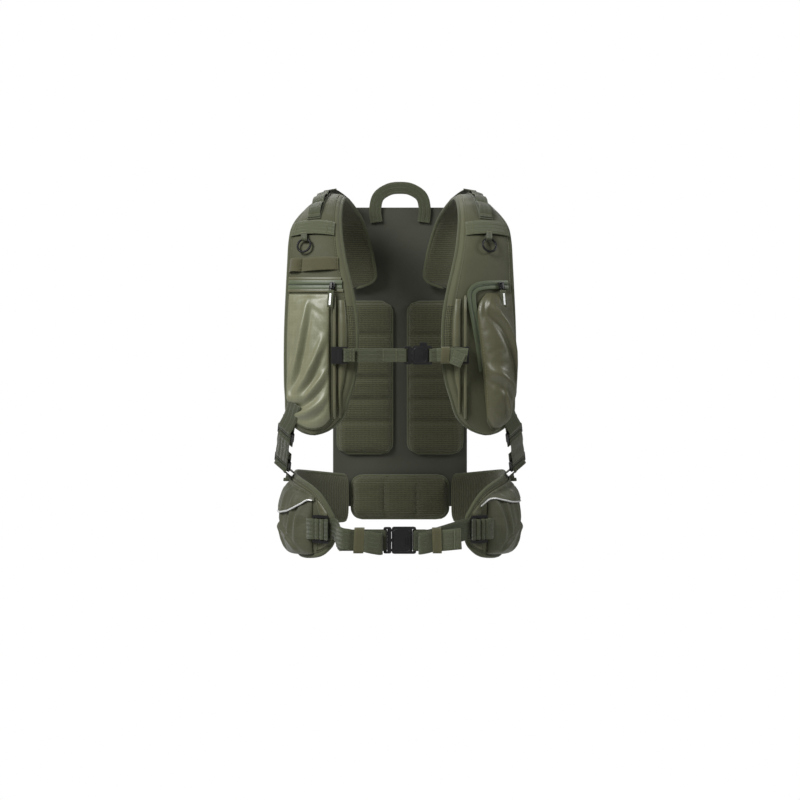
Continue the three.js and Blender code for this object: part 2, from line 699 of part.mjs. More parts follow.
function buildBelt() {
  const centre = waistPoint(FRAME_DEG, BELT_SIDE_Z, FRAME_OFF);
  const place = standing(centre, alongWaist(FRAME_DEG), waistNormal(FRAME_DEG));
  const outer = plate(FRAME_LONG, FRAME_HIGH, FRAME_THICK, 3);
  const slotLong = (FRAME_LONG - 3 * BAR) / 2;
  const slotAt = BAR / 2 + slotLong / 2;
  const slots = [-1, 1].map((way) => box(slotLong, FRAME_THICK * 2, BELT_WEB + 1.4, way * slotAt, 0, 0));
  const frame = carve(outer, [], slots).applyMatrix4(place);
  addPair('belt_frame', frame, 'plastic');

  const barOut = FRAME_LONG / 2 - BAR / 2;
  const turn = turnRadius(FRAME_THICK);
  const tab = [vec(barOut + TAB_SEWN, turn, 0), vec(barOut + 2, turn, 0)];
  for (let k = 1; k <= 7; k += 1) {
    const angle = Math.PI * k / 8;
    tab.push(vec(barOut - Math.sin(angle) * turn, Math.cos(angle) * turn, 0));
  }
  tab.push(vec(barOut + 2, -turn, 0));
  tab.push(vec(barOut + 9, -turn * 0.6, 0));
  tab.push(vec(barOut + TAB_SEWN, turn - WEB_THICK - SEAM_GAP, 0));
  addPair('belt_anchor', ribbon(tab, UP, BELT_WEB, WEB_THICK).applyMatrix4(place), 'webbing');

  const size = buckleSizes(BELT_WEB);
  const buckleY = waistPoint(0, 0, 0).y - 12;
  const seam = -size.socketLong / 2 + size.baseLong / 2;
  const middle = new THREE.Matrix4().makeTranslation(seam, buckleY, BELT_Z);
  add('belt_socket', socketGeometry(size).applyMatrix4(middle), 'plastic');
  add('belt_plug', plugGeometry(size).applyMatrix4(middle), 'plastic');

  const frontBar = [];
  for (let k = 0; k <= 8; k += 1) {
    const angle = Math.PI * k / 8;
    frontBar.push(vec(-barOut + Math.sin(angle) * turn, Math.cos(angle) * turn, 0).applyMatrix4(place));
  }
  const inside = vec(-barOut - 12, turn, 0).applyMatrix4(place);
  const outside = vec(-barOut - 4, -turn, 0).applyMatrix4(place);

  const socketBar = seam + size.socketLong - BAR / 2;
  const socketLoop = loopPoints(socketBar, buckleY, BELT_Z, 1, 34, 0);
  socketLoop.pop();
  const bridgeL = vec(socketBar + 26, buckleY + turnRadius(BAR_THIN), BELT_Z + 2);
  const webL = [...socketLoop, bridgeL, inside, ...frontBar, outside];
  add('belt_web_l', ribbon(webL, UP, BELT_WEB, WEB_THICK), 'webbing');

  const plugBar = seam - SLIDE_GAP - size.baseLong + BAR / 2;
  const doubled = RUN_START + BELT_TRAVEL + LAP;
  const loop = loopPoints(plugBar, buckleY, BELT_Z, -1, doubled, doubled - 3);
  add('belt_loop_r', ribbon(loop, UP, BELT_WEB, WEB_THICK), 'webbing');
  const flip = (p) => vec(-p.x, p.y, p.z);
  const straightEnd = plugBar - doubled - BELT_TRAVEL - 2;
  const webR = [
    vec(plugBar - RUN_START - BELT_TRAVEL, buckleY, BELT_Z), vec(straightEnd, buckleY, BELT_Z),
    flip(inside), ...frontBar.map(flip), flip(outside),
  ];
  add('belt_web_r', ribbon(webR, UP, BELT_WEB, WEB_THICK), 'webbing');
}

// ---------------------------------------------------------------------------
// Side adjusters: a ladder-lock at the strap's lower corner, webbing to a wing buckle.
// Both are held by a webbing tab that is sewn into the pad or the wing.
// ---------------------------------------------------------------------------
const LOCK_LONG = 25;
const LOCK_HIGH = STRAP_WEB + 6;
const LOCK_THICK = 4;
const LOCK_REACH = (LOCK_LONG - BAR) / 2;   // from a lock's middle to either outer bar

// Upper bar of the lock, lower bar of the wing buckle, and the frame of the line between them.
const ADJUSTER = (() => {
  const top = vec(170, -101, -344);
  const low = vec(WAIST_A + 23, -20, -403);
  const along = low.clone().sub(top).normalize();
  const outward = vec(0.45, -0.9, 0);
  outward.addScaledVector(along, -outward.dot(along)).normalize();
  const across = along.clone().cross(outward).normalize();
  return { top, low, along, outward, across };
})();

function lockGeometry() {
  const outer = plate(LOCK_LONG, LOCK_HIGH, LOCK_THICK, 3);
  const slotLong = (LOCK_LONG - 3 * BAR) / 2;
  const slots = [-1, 1].map((way) =>
    box(slotLong, LOCK_THICK * 2, STRAP_WEB + 1.2, way * (BAR / 2 + slotLong / 2), 0, 0));
  return carve(outer, [], slots);
}

// Half turn of webbing round a bar, bulging toward -along when way is 1.
function turnRound(bar, way) {
  const { along, outward } = ADJUSTER;
  const radius = turnRadius(LOCK_THICK);
  const points = [];
  for (let k = 0; k <= 6; k += 1) {
    const angle = Math.PI * k / 6;
    points.push(bar.clone()
      .addScaledVector(along, -Math.sin(angle) * radius * way)
      .addScaledVector(outward, -Math.cos(angle) * radius));
  }
  return points;
}

// Tab round a bar with both ends buried in the pad or wing at `root`.
function sewnTab(bar, way, root) {
  const { along, outward, across } = ADJUSTER;
  const turn = turnRound(bar, way);
  const straight = (p) => p.clone().addScaledVector(along, 3.5 * way);
  const inner = root.clone().addScaledVector(outward, -2);
  const outer = root.clone().addScaledVector(outward, 2);
  const line = [inner, straight(turn[0]), ...turn, straight(turn[turn.length - 1]), outer];
  return ribbon(line, across, STRAP_WEB, WEB_THICK);
}

function buildAdjusters() {
  const { top, low, along, outward, across } = ADJUSTER;
  const lockAt = top.clone().addScaledVector(along, LOCK_REACH);
  const buckleAt = low.clone().addScaledVector(along, -LOCK_REACH);
  addPair('adjuster_lock', lockGeometry().applyMatrix4(standing(lockAt, along, outward)), 'plastic');
  addPair('wing_buckle', lockGeometry().applyMatrix4(standing(buckleAt, along, outward)), 'plastic');
  const radius = turnRadius(LOCK_THICK);
  const topBar = lockAt.clone().addScaledVector(along, LOCK_REACH);
  const lowBar = buckleAt.clone().addScaledVector(along, -LOCK_REACH);
  const tail = (bar, way) => bar.clone().addScaledVector(outward, radius).addScaledVector(along, 16 * way);
  const web = [
    tail(topBar, 1), ...turnRound(topBar, 1).reverse(),
    ...turnRound(lowBar, -1), tail(lowBar, -1),
  ];
  addPair('adjuster_web', ribbon(web, across, STRAP_WEB, WEB_THICK), 'webbing');
}

// ---------------------------------------------------------------------------
// Back: frame sheet, foam pads, cargo compartment, lifters and haul handle
// ---------------------------------------------------------------------------
function cushion(width, height, y0, thick, x, z) {
  return slab(6, 8, (u, v, level) => {
    const swell = (Math.sin(Math.PI * u) * Math.sin(Math.PI * v)) ** 0.5;
    const front = y0 - thick * (0.45 + 0.55 * swell);
    return vec(x + (u - 0.5) * width, level ? front : y0, z + (v - 0.5) * height);
  });
}

function buildBack() {
  const centreZ = (PANEL_TOP + PANEL_LOW) / 2;
  const sheet = plate(PANEL_W, PANEL_TOP - PANEL_LOW, PANEL_T, 26)
    .translate(0, PANEL_Y + PANEL_T / 2, centreZ);
  add('frame_sheet', mergeVertices(stripped(sheet), 1e-4), 'sheet');
  const pad = cushion(84, 236, PANEL_Y - SEAM_GAP, 13, 55, -274);
  addPair('back_pad', pad, 'mesh');
  const lumbar = cushion(150, 66, PANEL_Y - SEAM_GAP, 14, 0, -461);
  add('lumbar_pad', lumbar, 'mesh');
  const cargoTop = PANEL_TOP - 14;
  const cargoLow = PANEL_LOW + 34;
  const cargoY = PANEL_Y + PANEL_T + SEAM_GAP;
  const cargo = plate(PANEL_W - 12, cargoTop - cargoLow, CARGO_DEEP, 22)
    .translate(0, cargoY + CARGO_DEEP / 2, (cargoTop + cargoLow) / 2);
  add('cargo_shell', mergeVertices(stripped(cargo), 1e-4), 'shell');
  const lifter = smooth([
    vec(110, 6, 15.5), vec(104, 40, 14), vec(92, 90, 6), vec(82, PANEL_Y - 2, PANEL_TOP + 2.5),
    vec(79, PANEL_Y + 5, PANEL_TOP + 1.8),
  ], 8);
  addPair('load_lifter', ribbon(lifter, vec(1, 0.25, -0.18), 20, WEB_THICK), 'webbing');
  const handleY = PANEL_Y - 1.8;
  const handle = smooth([
    vec(-38, handleY, PANEL_TOP - 22), vec(-40, handleY - 0.6, PANEL_TOP + 6),
    vec(-33, handleY - 2, PANEL_TOP + HANDLE_RISE - 5), vec(0, handleY - 3, PANEL_TOP + HANDLE_RISE),
    vec(33, handleY - 2, PANEL_TOP + HANDLE_RISE - 5), vec(40, handleY - 0.6, PANEL_TOP + 6),
    vec(38, handleY, PANEL_TOP - 22),
  ], 22);
  add('haul_handle', ribbon(handle, vec(0, 1, 0), 2.4, HANDLE_WEB), 'webbing');
}

buildStrapPads();
buildChestPockets();
buildRails();
buildWebbingOnPads();
buildRings();
buildZips();
buildSternumStrap();
buildWings();
buildBelt();
buildAdjusters();
buildBack();

export default model;
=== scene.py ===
"""Technical vest-style pack harness: the visual model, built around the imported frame.

Every length is in metres. Places are read from the frame: padded parts are resampled from
their rigid counterparts, and trim is laid on those surfaces.
"""
from __future__ import annotations

import json
import logging
import math
import random
from dataclasses import dataclass, field
from enum import Enum
from functools import reduce
from typing import Callable, Sequence

import bmesh
import bpy
import numpy as np
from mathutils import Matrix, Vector, noise
from mathutils.bvhtree import BVHTree

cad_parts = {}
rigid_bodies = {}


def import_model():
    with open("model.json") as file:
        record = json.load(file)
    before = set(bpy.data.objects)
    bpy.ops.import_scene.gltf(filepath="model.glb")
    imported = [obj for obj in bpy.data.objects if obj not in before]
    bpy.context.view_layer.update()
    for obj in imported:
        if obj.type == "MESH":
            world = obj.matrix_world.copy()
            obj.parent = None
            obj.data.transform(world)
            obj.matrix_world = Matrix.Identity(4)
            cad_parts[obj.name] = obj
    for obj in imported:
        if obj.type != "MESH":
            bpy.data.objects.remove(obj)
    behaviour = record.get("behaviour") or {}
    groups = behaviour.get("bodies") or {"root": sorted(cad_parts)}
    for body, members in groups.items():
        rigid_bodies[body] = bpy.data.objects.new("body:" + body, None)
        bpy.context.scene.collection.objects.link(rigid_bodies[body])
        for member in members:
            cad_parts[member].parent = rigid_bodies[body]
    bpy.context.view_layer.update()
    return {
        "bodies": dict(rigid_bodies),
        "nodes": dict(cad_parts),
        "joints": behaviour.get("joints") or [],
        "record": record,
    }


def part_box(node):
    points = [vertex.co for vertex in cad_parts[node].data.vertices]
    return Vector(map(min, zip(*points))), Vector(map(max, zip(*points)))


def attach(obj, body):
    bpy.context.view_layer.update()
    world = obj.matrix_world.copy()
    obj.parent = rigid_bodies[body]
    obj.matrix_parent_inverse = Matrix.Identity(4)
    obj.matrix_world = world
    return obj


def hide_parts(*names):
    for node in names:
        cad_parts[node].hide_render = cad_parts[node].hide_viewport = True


logging.basicConfig(level=logging.INFO, format="%(message)s")
LOG = logging.getLogger("harness")
UP = Vector((0.0, 0.0, 1.0))
FRONT = Vector((0.0, -1.0, 0.0))
BEHIND = Vector((0.0, 1.0, 0.0))
LEFT = Vector((1.0, 0.0, 0.0))

WEB_THICK = 0.0016  # nylon webbing
BAR_INSET = 0.0015  # middle of a fitting's webbing bar, from the fitting's end
BAR_TURN = 0.00316  # middle of the webbing round a buckle's bar
LOCK_TURN = 0.0038  # the same round the bar of a frame or a ladder-lock
TACK_LIFT = 0.0009  # thread of a bar tack, above the middle of the webbing
READ_STEP = 0.0035  # spacing of the rows read from a strap pad
WAIST_CENTRE = Vector((0.0, 0.005, 0.0))


# --------------------------------------------------------------------------- colour and shading
def linear(hex_colour: str) -> tuple[float, float, float, float]:
    """Turns an sRGB hex colour into linear RGBA.

    Args:
        hex_colour: Six hex digits with a leading hash.

    Returns:
        Linear red, green, blue and an alpha of one.
    """
    parts = [int(hex_colour[k : k + 2], 16) / 255 for k in (1, 3, 5)]
    flat = [c / 12.92 if c <= 0.04045 else ((c + 0.055) / 1.055) ** 2.4 for c in parts]
    return flat[0], flat[1], flat[2], 1.0


def tinted(hex_colour: str, gain: float, lift: float = 0.0) -> tuple[float, ...]:
    """Scales a colour and adds to it, in linear light."""
    return tuple(min(1.0, gain * c + lift) for c in linear(hex_colour)[:3]) + (1.0,)


class Weave(Enum):
    """How a textile's threads run."""

    PLAIN = "plain"
    RIPSTOP = "ripstop"
    WEBBING = "webbing"
    MESH = "mesh"
    RIBBED = "ribbed"
    COIL = "coil"


class Graph:
    """A material's node tree, with one way to add any node."""

    def __init__(self, name: str) -> None:
        self.material = bpy.data.materials.new(name)
        self.material.use_nodes = True
        self.tree = self.material.node_tree
        self.tree.nodes.clear()

    def add(self, kind: str, settings: dict | None = None, **inputs) -> bpy.types.Node:
        """Adds a node.

        Args:
            kind: The node's type name without its ShaderNode prefix.
            settings: Properties to set on the node.
            **inputs: Socket name (underscores for spaces, or _0 for an index) to value or socket.

        Returns:
            The new node.
        """
        node = self.tree.nodes.new("ShaderNode" + kind)
        for key, value in (settings or {}).items():
            setattr(node, key, value)
        for key, value in inputs.items():
            index = key[1:]
            socket = node.inputs[int(index)] if index.isdigit() else node.inputs[key.replace("_", " ")]
            if isinstance(value, bpy.types.NodeSocket):
                self.tree.links.new(value, socket)
            else:
                socket.default_value = value
        return node

    def math(self, operation: str, a, b=0.0) -> bpy.types.NodeSocket:
        """Adds a math node and returns its result."""
        return self.add("Math", {"operation": operation}, _0=a, _1=b).outputs[0]

    def blend(self, amount, a, b) -> bpy.types.NodeSocket:
        """Mixes two colours and returns the result."""
        node = self.add("Mix", {"data_type": "RGBA"}, _0=amount, _6=a, _7=b)
        return node.outputs[2]


@dataclass(frozen=True)
class Textile:
    """A fabric finish.

    The threads give the close look, with painted shade in the gaps between them, the coat the soft
    highlight, the two-tone drift the look of dyed cloth that has been handled.
    """

    name: str
    slot: str
    colour: str
    shade: str
    weave: Weave
    pitch: float
    roughness: float = 0.75
    coat: float = 0.0
    sheen: float = 0.25
    relief: float = 0.25
    drift: float = 0.5

    def _threads(self, g: Graph) -> tuple[bpy.types.NodeSocket, bpy.types.NodeSocket]:
        """Builds the thread height (0 to 1) and the gaps between threads (0 to 1)."""
        uv = g.add("UVMap").outputs["UV"]
        xy = g.add("SeparateXYZ", None, Vector=uv)
        turn = 2 * math.pi / self.pitch
        along, across = xy.outputs["X"], xy.outputs["Y"]
        if self.weave is Weave.MESH:
            place = g.add("VectorMath", {"operation": "MULTIPLY"}, _0=uv, _1=(1.0, 1.6, 1.0)).outputs[0]
            cell = g.add("TexVoronoi", {"voronoi_dimensions": "2D"}, Vector=place, Scale=1 / self.pitch,
                         Randomness=0.12).outputs["Distance"]
            hole = g.add("MapRange", None, Value=cell, From_Min=0.28, From_Max=0.44).outputs[0]
            return hole, g.math("SUBTRACT", 1.0, hole)

        def wave(axis: bpy.types.NodeSocket, rate: float) -> bpy.types.NodeSocket:
            return g.math("SINE", g.math("MULTIPLY", axis, rate))

        if self.weave is Weave.WEBBING:
            slant = g.math("ADD", along, g.math("PINGPONG", across, self.pitch * 1.5))
            waves = [(wave(slant, turn), 0.32), (wave(across, turn * 0.66), 0.18)]
        elif self.weave is Weave.RIBBED:
            waves = [(wave(across, turn), 0.38), (wave(along, turn * 1.7), 0.12)]
        elif self.weave is Weave.COIL:
            waves = [(wave(along, turn), 0.5)]
        else:
            waves = [(g.math("MULTIPLY", wave(across, turn), wave(along, turn)), 0.3)]
        scaled = [g.math("MULTIPLY", level, share) for level, share in waves]
        height = g.math("ADD", reduce(lambda a, b: g.math("ADD", a, b), scaled), 0.5)
        gap = g.math("SUBTRACT", 1.0, height)
        if self.weave is Weave.RIPSTOP:
            grid, thread = 0.0048, 0.00028
            lines = [g.math("LESS_THAN", g.math("PINGPONG", axis, grid / 2), thread)
                     for axis in (along, across)]
            line = g.math("MAXIMUM", *lines)
            height = g.math("ADD", height, g.math("MULTIPLY", line, 0.9))
            gap = g.math("SUBTRACT", gap, g.math("MULTIPLY", line, 0.5))
        return height, gap

    def material(self) -> bpy.types.Material:
        """Builds the material once and returns it."""
        found = bpy.data.materials.get(self.name)
        if found:
            return found
        g = Graph(self.name)
        height, gap = self._threads(g)
        place = g.add("TexCoord").outputs["Object"]
        wide = g.add("TexNoise", None, Vector=place, Scale=9.0, Detail=5.0, Roughness=0.6).outputs["Fac"]
        fine = g.add("TexNoise", None, Vector=place, Scale=240.0, Detail=3.0).outputs["Fac"]
        tone = g.add("MapRange", None, Value=wide, From_Min=0.32, From_Max=0.7).outputs[0]
        dyed = g.blend(g.math("MULTIPLY", tone, self.drift), linear(self.colour), linear(self.shade))
        # Painted shade: the gaps between threads and the holes of the mesh are darkened, as if shade fell in
        # them.
        gap_shade = tinted(self.shade, 0.42)
        depth = 0.85 if self.weave is Weave.MESH else 0.3
        woven_with_gap_shade = g.blend(g.math("MULTIPLY", gap, depth), dyed, gap_shade)
        geometry = g.add("NewGeometry")
        rub = g.add("MapRange", None, Value=geometry.outputs["Pointiness"], From_Min=0.51, From_Max=0.6)
        pale = tinted(self.colour, 1.5, 0.01)
        worn = g.blend(g.math("MULTIPLY", rub.outputs[0], 0.35), woven_with_gap_shade, pale)
        rough = g.math("ADD", self.roughness - 0.08, g.math("MULTIPLY", fine, 0.16))
        bumped = g.add(
            "Bump", None, Height=height, Strength=self.relief, Distance=self.pitch * 0.35
        ).outputs["Normal"]
        rumple = g.add("TexNoise", None, Vector=place, Scale=75.0, Detail=3.0, Distortion=0.6).outputs["Fac"]
        normal = g.add(
            "Bump", None, Height=rumple, Strength=0.18, Distance=0.0012, Normal=bumped
        ).outputs["Normal"]
        shader = g.add(
            "BsdfPrincipled", None, Base_Color=worn, Roughness=rough, Normal=normal,
            Sheen_Weight=self.sheen, Sheen_Roughness=0.5, Coat_Weight=self.coat, Coat_Roughness=0.44,
        )
        shader.inputs["Specular IOR Level"].default_value = 0.3 + 0.5 * self.coat
        g.add("OutputMaterial", None, Surface=shader.outputs[0])
        return g.material


@dataclass(frozen=True)
class Moulding:
    """A moulded or coated hard finish, with softened edges and fine grain."""

    name: str
    slot: str
    colour: str
    roughness: float
    grain: float
    metal: float = 0.0
    edge: float = 0.0005

    def material(self) -> bpy.types.Material:
        """Builds the material once and returns it."""
        found = bpy.data.materials.get(self.name)
        if found:
            return found
        g = Graph(self.name)
        place = g.add("TexCoord").outputs["Object"]
        speck = g.add("TexNoise", None, Vector=place, Scale=1400.0, Detail=2.0).outputs["Fac"]
        wide = g.add("TexNoise", None, Vector=place, Scale=35.0, Detail=4.0).outputs["Fac"]
        base, pale = linear(self.colour), tinted(self.colour, 1.7, 0.012)
        geometry = g.add("NewGeometry")
        rub = g.add("MapRange", None, Value=geometry.outputs["Pointiness"], From_Min=0.52, From_Max=0.62)
        colour = g.blend(g.math("MULTIPLY", rub.outputs[0], 0.5), base, pale)
        rough = g.add(
            "MapRange", None, Value=wide, From_Min=0.3, From_Max=0.7,
            To_Min=self.roughness - 0.06, To_Max=self.roughness + 0.08,
        ).outputs[0]
        soft = g.add("Bevel", {"samples": 4}, Radius=self.edge).outputs[0]
        normal = g.add("Bump", None, Height=speck, Strength=self.grain, Distance=0.0002, Normal=soft)
        shader = g.add(
            "BsdfPrincipled", None, Base_Color=colour, Roughness=rough, Metallic=self.metal,
            Normal=normal.outputs["Normal"],
        )
        g.add("OutputMaterial", None, Surface=shader.outputs[0])
        return g.material


# Painted light: this copy of the coated nylon is made lighter for the chest zip pocket on the side the key
# light falls on.
COATED_LIT = Textile("Coated_ripstop_nylon_painted_light", "coated_nylon", "#7f8064", "#6c6d52", Weave.RIPSTOP, 0.0008,
                 roughness=0.42, coat=0.35, sheen=0.1, relief=0.12)
SHELL = Textile("Matte_pack_cloth", "shell_fabric", "#50513a", "#43442e", Weave.PLAIN, 0.0011, roughness=0.66,
                relief=0.4)
WEB = Textile("Nylon_webbing", "webbing", "#474c34", "#3a3f29", Weave.WEBBING, 0.0021, roughness=0.6,
              relief=0.8)
WEB_PALE = Textile("Washed_nylon_webbing", "webbing", "#575c43", "#494e37", Weave.WEBBING, 0.0021,
                   roughness=0.58, relief=0.8)
WEB_DARK = Textile("Waist_nylon_webbing", "webbing", "#3f442e", "#333824", Weave.WEBBING, 0.0021,
                   roughness=0.6,
                   relief=0.8)
ELASTIC = Textile("Ribbed_khaki_elastic", "elastic", "#58563a", "#46442c", Weave.RIBBED, 0.0016,
                  roughness=0.72,
                  relief=0.9)
ZIP = Textile("Coated_zip_tape", "zip_tape", "#555e46", "#495239", Weave.PLAIN, 0.0009, roughness=0.45,
              coat=0.2, sheen=0.05)
COIL = Textile("Zip_coil", "zip_tape", "#3c4632", "#30392a", Weave.COIL, 0.0014, roughness=0.4, relief=0.8)
MESH = Textile("Open_spacer_mesh", "spacer_mesh", "#55553a", "#484930", Weave.MESH, 0.0034, roughness=0.85,
               relief=0.9)
TAPE = Textile("Folded_binding_tape", "binding", "#4f5239", "#434630", Weave.RIBBED, 0.0013, roughness=0.7,
               relief=0.7)
SHELL_SOFT = Textile("Soft_pocket_cloth", "shell_fabric", "#4d4e38", "#3f412c", Weave.RIPSTOP, 0.0010,
                     roughness=0.55, coat=0.1, relief=0.25)
TAPE_CLOTH = Textile("Edge_channel_cloth", "shell_fabric", "#595a41", "#4b4c36", Weave.PLAIN, 0.0010,
                     roughness=0.7,
                     relief=0.4)
COATED_DARK = Textile("Coated_nylon_in_shade", "coated_nylon", "#5b5b41", "#4b4b34", Weave.RIPSTOP, 0.0008,
                      roughness=0.45, coat=0.25, sheen=0.1, relief=0.12)
# Painted shade: this copy of the coated nylon is made darker for the bottle pocket on the side away from the
# key light.
COATED_SHADED = Textile("Glossy_coated_nylon_painted_shade", "coated_nylon", "#55543c", "#46452f", Weave.RIPSTOP, 0.0008,
                      roughness=0.4, coat=0.35, sheen=0.05, relief=0.12)
THREAD = Textile("Bonded_sewing_thread", "shell_fabric", "#6b6d50", "#5d5f45", Weave.PLAIN, 0.0006,
                 roughness=0.5)
PULL = Textile("Folded_pull_webbing", "pull_tab", "#4b5038", "#3f4430", Weave.WEBBING, 0.0016, relief=0.7)
SILVER = Moulding("Retroreflective_silver_tape", "pull_tab", "#d4d6d4", 0.36, 0.3, metal=0.25)
BLACK = Moulding("Moulded_black_acetal", "black_plastic", "#0f0f10", 0.38, 0.3)
WIRE = Moulding("Black_coated_steel", "ring_metal", "#19191b", 0.3, 0.15, metal=0.4)
SHEET = Moulding("Moulded_frame_sheet", "frame_sheet", "#34352a", 0.6, 0.6)


# --------------------------------------------------------------------------- mesh building
@dataclass
class Station:
    """A place along a strip: its middle, the way across, and the way out from the wearer."""

    at: Vector
    across: Vector
    out: Vector


def distances(points: np.ndarray) -> np.ndarray:
    """Distance of each point of a line from its start, along the line."""
    return np.concatenate([[0], np.cumsum(np.linalg.norm(np.diff(points, axis=0), axis=1))])


class Pile:
    """Collects lofted solids into one mesh object."""

    def __init__(self) -> None:
        self.verts: list[tuple[float, float, float]] = []
        self.faces: list[tuple[int, ...]] = []
        self.uvs: list[tuple[float, float]] = []
        self.slots: list[int] = []
        self.finishes: list = []

    def _slot(self, finish) -> int:
        if finish not in self.finishes:
            self.finishes.append(finish)
        return self.finishes.index(finish)

    def _face(self, ids: Sequence[int], uvs: Sequence[tuple[float, float]], slot: int) -> None:
        self.faces.append(tuple(ids))
        self.uvs.extend(uvs)
        self.slots.append(slot)

    def loft(self, rings, finish, face_finish: Callable | None = None, loop: bool = False) -> None:
        """Joins closed rings of equal count into a closed solid.

        Args:
            rings: Array of shape (rings, points, 3).
            finish: Finish of the solid.
            face_finish: Optional function of (ring, point) that gives a face its own finish.
            loop: Whether the last ring joins the first in place of end caps.
        """
        rings = np.asarray(rings, float)
        count, around = rings.shape[:2]
        base = len(self.verts)
        self.verts.extend(map(tuple, rings.reshape(-1, 3)))
        middles = rings.mean(axis=1)
        run = distances(middles)
        widest = rings[count // 2]
        edge = np.linalg.norm(np.roll(widest, -1, axis=0) - widest, axis=1)
        girth = np.concatenate([[0], np.cumsum(edge)])
        main = self._slot(finish)
        last = count if loop else count - 1
        for i in range(last):
            j = (i + 1) % count
            end = run[i + 1] if i + 1 < count else run[i] + np.linalg.norm(middles[0] - middles[-1])
            for k in range(around):
                m = (k + 1) % around
                slot = self._slot(face_finish(i, k)) if face_finish else main
                near, far = base + i * around, base + j * around
                corners = (run[i], girth[k]), (run[i], girth[k + 1]), (end, girth[k + 1]), (end, girth[k])
                self._face((near + k, near + m, far + m, far + k), corners, slot)
        if not loop:
            for i, order in ((0, -1), (count - 1, 1)):
                ids = [base + i * around + k for k in range(around)][::order]
                centre = len(self.verts)
                self.verts.append(tuple(middles[i]))
                for k in range(around):
                    a, b = ids[k], ids[(k + 1) % around]
                    pa, pb = np.array(self.verts[a]), np.array(self.verts[b])
                    ua = (run[i], float(np.linalg.norm(pa - middles[i])))
                    ub = (run[i] + 0.001, float(np.linalg.norm(pb - middles[i])))
                    self._face((a, b, centre), (ua, ub, (run[i], 0.0)), main)

    def slab(self, top, low, finish, side=None, uv=None) -> None:
        """Closes the gap between two grids into a solid.

        Args:
            top: Grid of points, shape (rows, columns, 3).
            low: Grid of the same shape under it.
            finish: Finish of the solid.
            side: Optional finish of the walls and the underside.
            uv: Optional grid of pattern places, shape (rows, columns, 2).
        """
        top, low = np.asarray(top, float), np.asarray(low, float)
        rows, columns = top.shape[:2]
        base = len(self.verts)
        self.verts.extend(map(tuple, top.reshape(-1, 3)))
        self.verts.extend(map(tuple, low.reshape(-1, 3)))
        if uv is None:
            u = np.zeros((rows, columns))
            v = np.zeros((rows, columns))
            u[1:] = np.cumsum(np.linalg.norm(np.diff(top, axis=0), axis=2), axis=0)
            v[:, 1:] = np.cumsum(np.linalg.norm(np.diff(top, axis=1), axis=2), axis=1)
            u = np.repeat(u.mean(axis=1, keepdims=True), columns, axis=1)
            uv = np.stack([u, v - v[:, columns // 2][:, None]], axis=2)
        one = self._slot(finish)
        two = self._slot(side or finish)
        at = lambda i, j, level: base + level * rows * columns + i * columns + j
        place = lambda i, j: tuple(uv[i][j])
        for i in range(rows - 1):
            for j in range(columns - 1):
                cells = [(i, j), (i + 1, j), (i + 1, j + 1), (i, j + 1)]
                self._face([at(a, b, 0) for a, b in cells], [place(a, b) for a, b in cells], one)
                back = cells[::-1]
                self._face([at(a, b, 1) for a, b in back], [place(a, b) for a, b in back], two)
        rim = [(0, j) for j in range(columns)] + [(i, columns - 1) for i in range(1, rows)]
        rim += [(rows - 1, j) for j in range(columns - 2, -1, -1)] + [(i, 0) for i in range(rows - 2, 0, -1)]
        for a, b in zip(rim, rim[1:] + rim[:1]):
            places = [place(*a), place(*b), place(*b), place(*a)]
            self._face([at(*a, 0), at(*b, 0), at(*b, 1), at(*a, 1)], places, two)

    def build(self, name: str, body: str, replaces: Sequence[str] = (),
              sharp: float = 42.0) -> bpy.types.Object:
        """Makes the object, sets its finishes and ties it to a body.

        Args:
            name: Object name.
            body: Body of the frame that it rides on.
            replaces: Nodes of the frame that it stands for.
            sharp: Angle in degrees above which an edge is shaded hard.

        Returns:
            The new object.
        """
        mesh = bpy.data.meshes.new(name)
        mesh.from_pydata(self.verts, [], self.faces)
        layer = mesh.uv_layers.new(name="UVMap")
        layer.data.foreach_set("uv", np.asarray(self.uvs, np.float32).ravel())
        for finish in self.finishes:
            mesh.materials.append(finish.material())
        mesh.polygons.foreach_set("material_index", self.slots)
        mesh.polygons.foreach_set("use_smooth", [True] * len(mesh.polygons))
        mesh.update()
        mesh.validate()
        turn_outward(mesh)
        mesh.set_sharp_from_angle(angle=math.radians(sharp))
        obj = bpy.data.objects.new(name, mesh)
        bpy.context.scene.collection.objects.link(obj)
        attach(obj, body)
        if replaces:
            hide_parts(*replaces)
        LOG.info("%s: %d faces on %s", name, len(mesh.polygons), body)
        return obj


def turn_outward(mesh: bpy.types.Mesh) -> None:
    """Makes every face of a mesh point out of its solid."""
    bm = bmesh.new()
    bm.from_mesh(mesh)
    bmesh.ops.recalc_face_normals(bm, faces=bm.faces)
    bm.to_mesh(mesh)
    bm.free()


def flow(points: Sequence[Vector], step: float) -> list[Vector]:
    """Runs a smooth line through points.

    Args:
        points: Points the line passes through.
        step: Spacing of the result.

    Returns:
        Evenly spaced points of the line.
    """
    pts = [Vector(p) for p in points]
    ends = [pts[0] * 2 - pts[1], *pts, pts[-1] * 2 - pts[-2]]
    dense: list[Vector] = []
    for k in range(1, len(ends) - 2):
        a, b, c, d = ends[k - 1 : k + 3]
        for i in range(24):
            t = i / 24
            dense.append(0.5 * ((2 * b) + (c - a) * t + (2 * a - 5 * b + 4 * c - d) * t**2
                                + (3 * b - a - 3 * c + d) * t**3))
    dense.append(pts[-1])
    return even(dense, step)


def even(points: Sequence[Vector], step: float) -> list[Vector]:
    """Resamples a line at an even spacing."""
    array = np.array([tuple(p) for p in points])
    run = distances(array)
    count = max(2, int(round(run[-1] / step)) + 1)
    where = np.linspace(0, run[-1], count)
    return [Vector(tuple(np.interp(w, run, array[:, k]) for k in range(3))) for w in where]


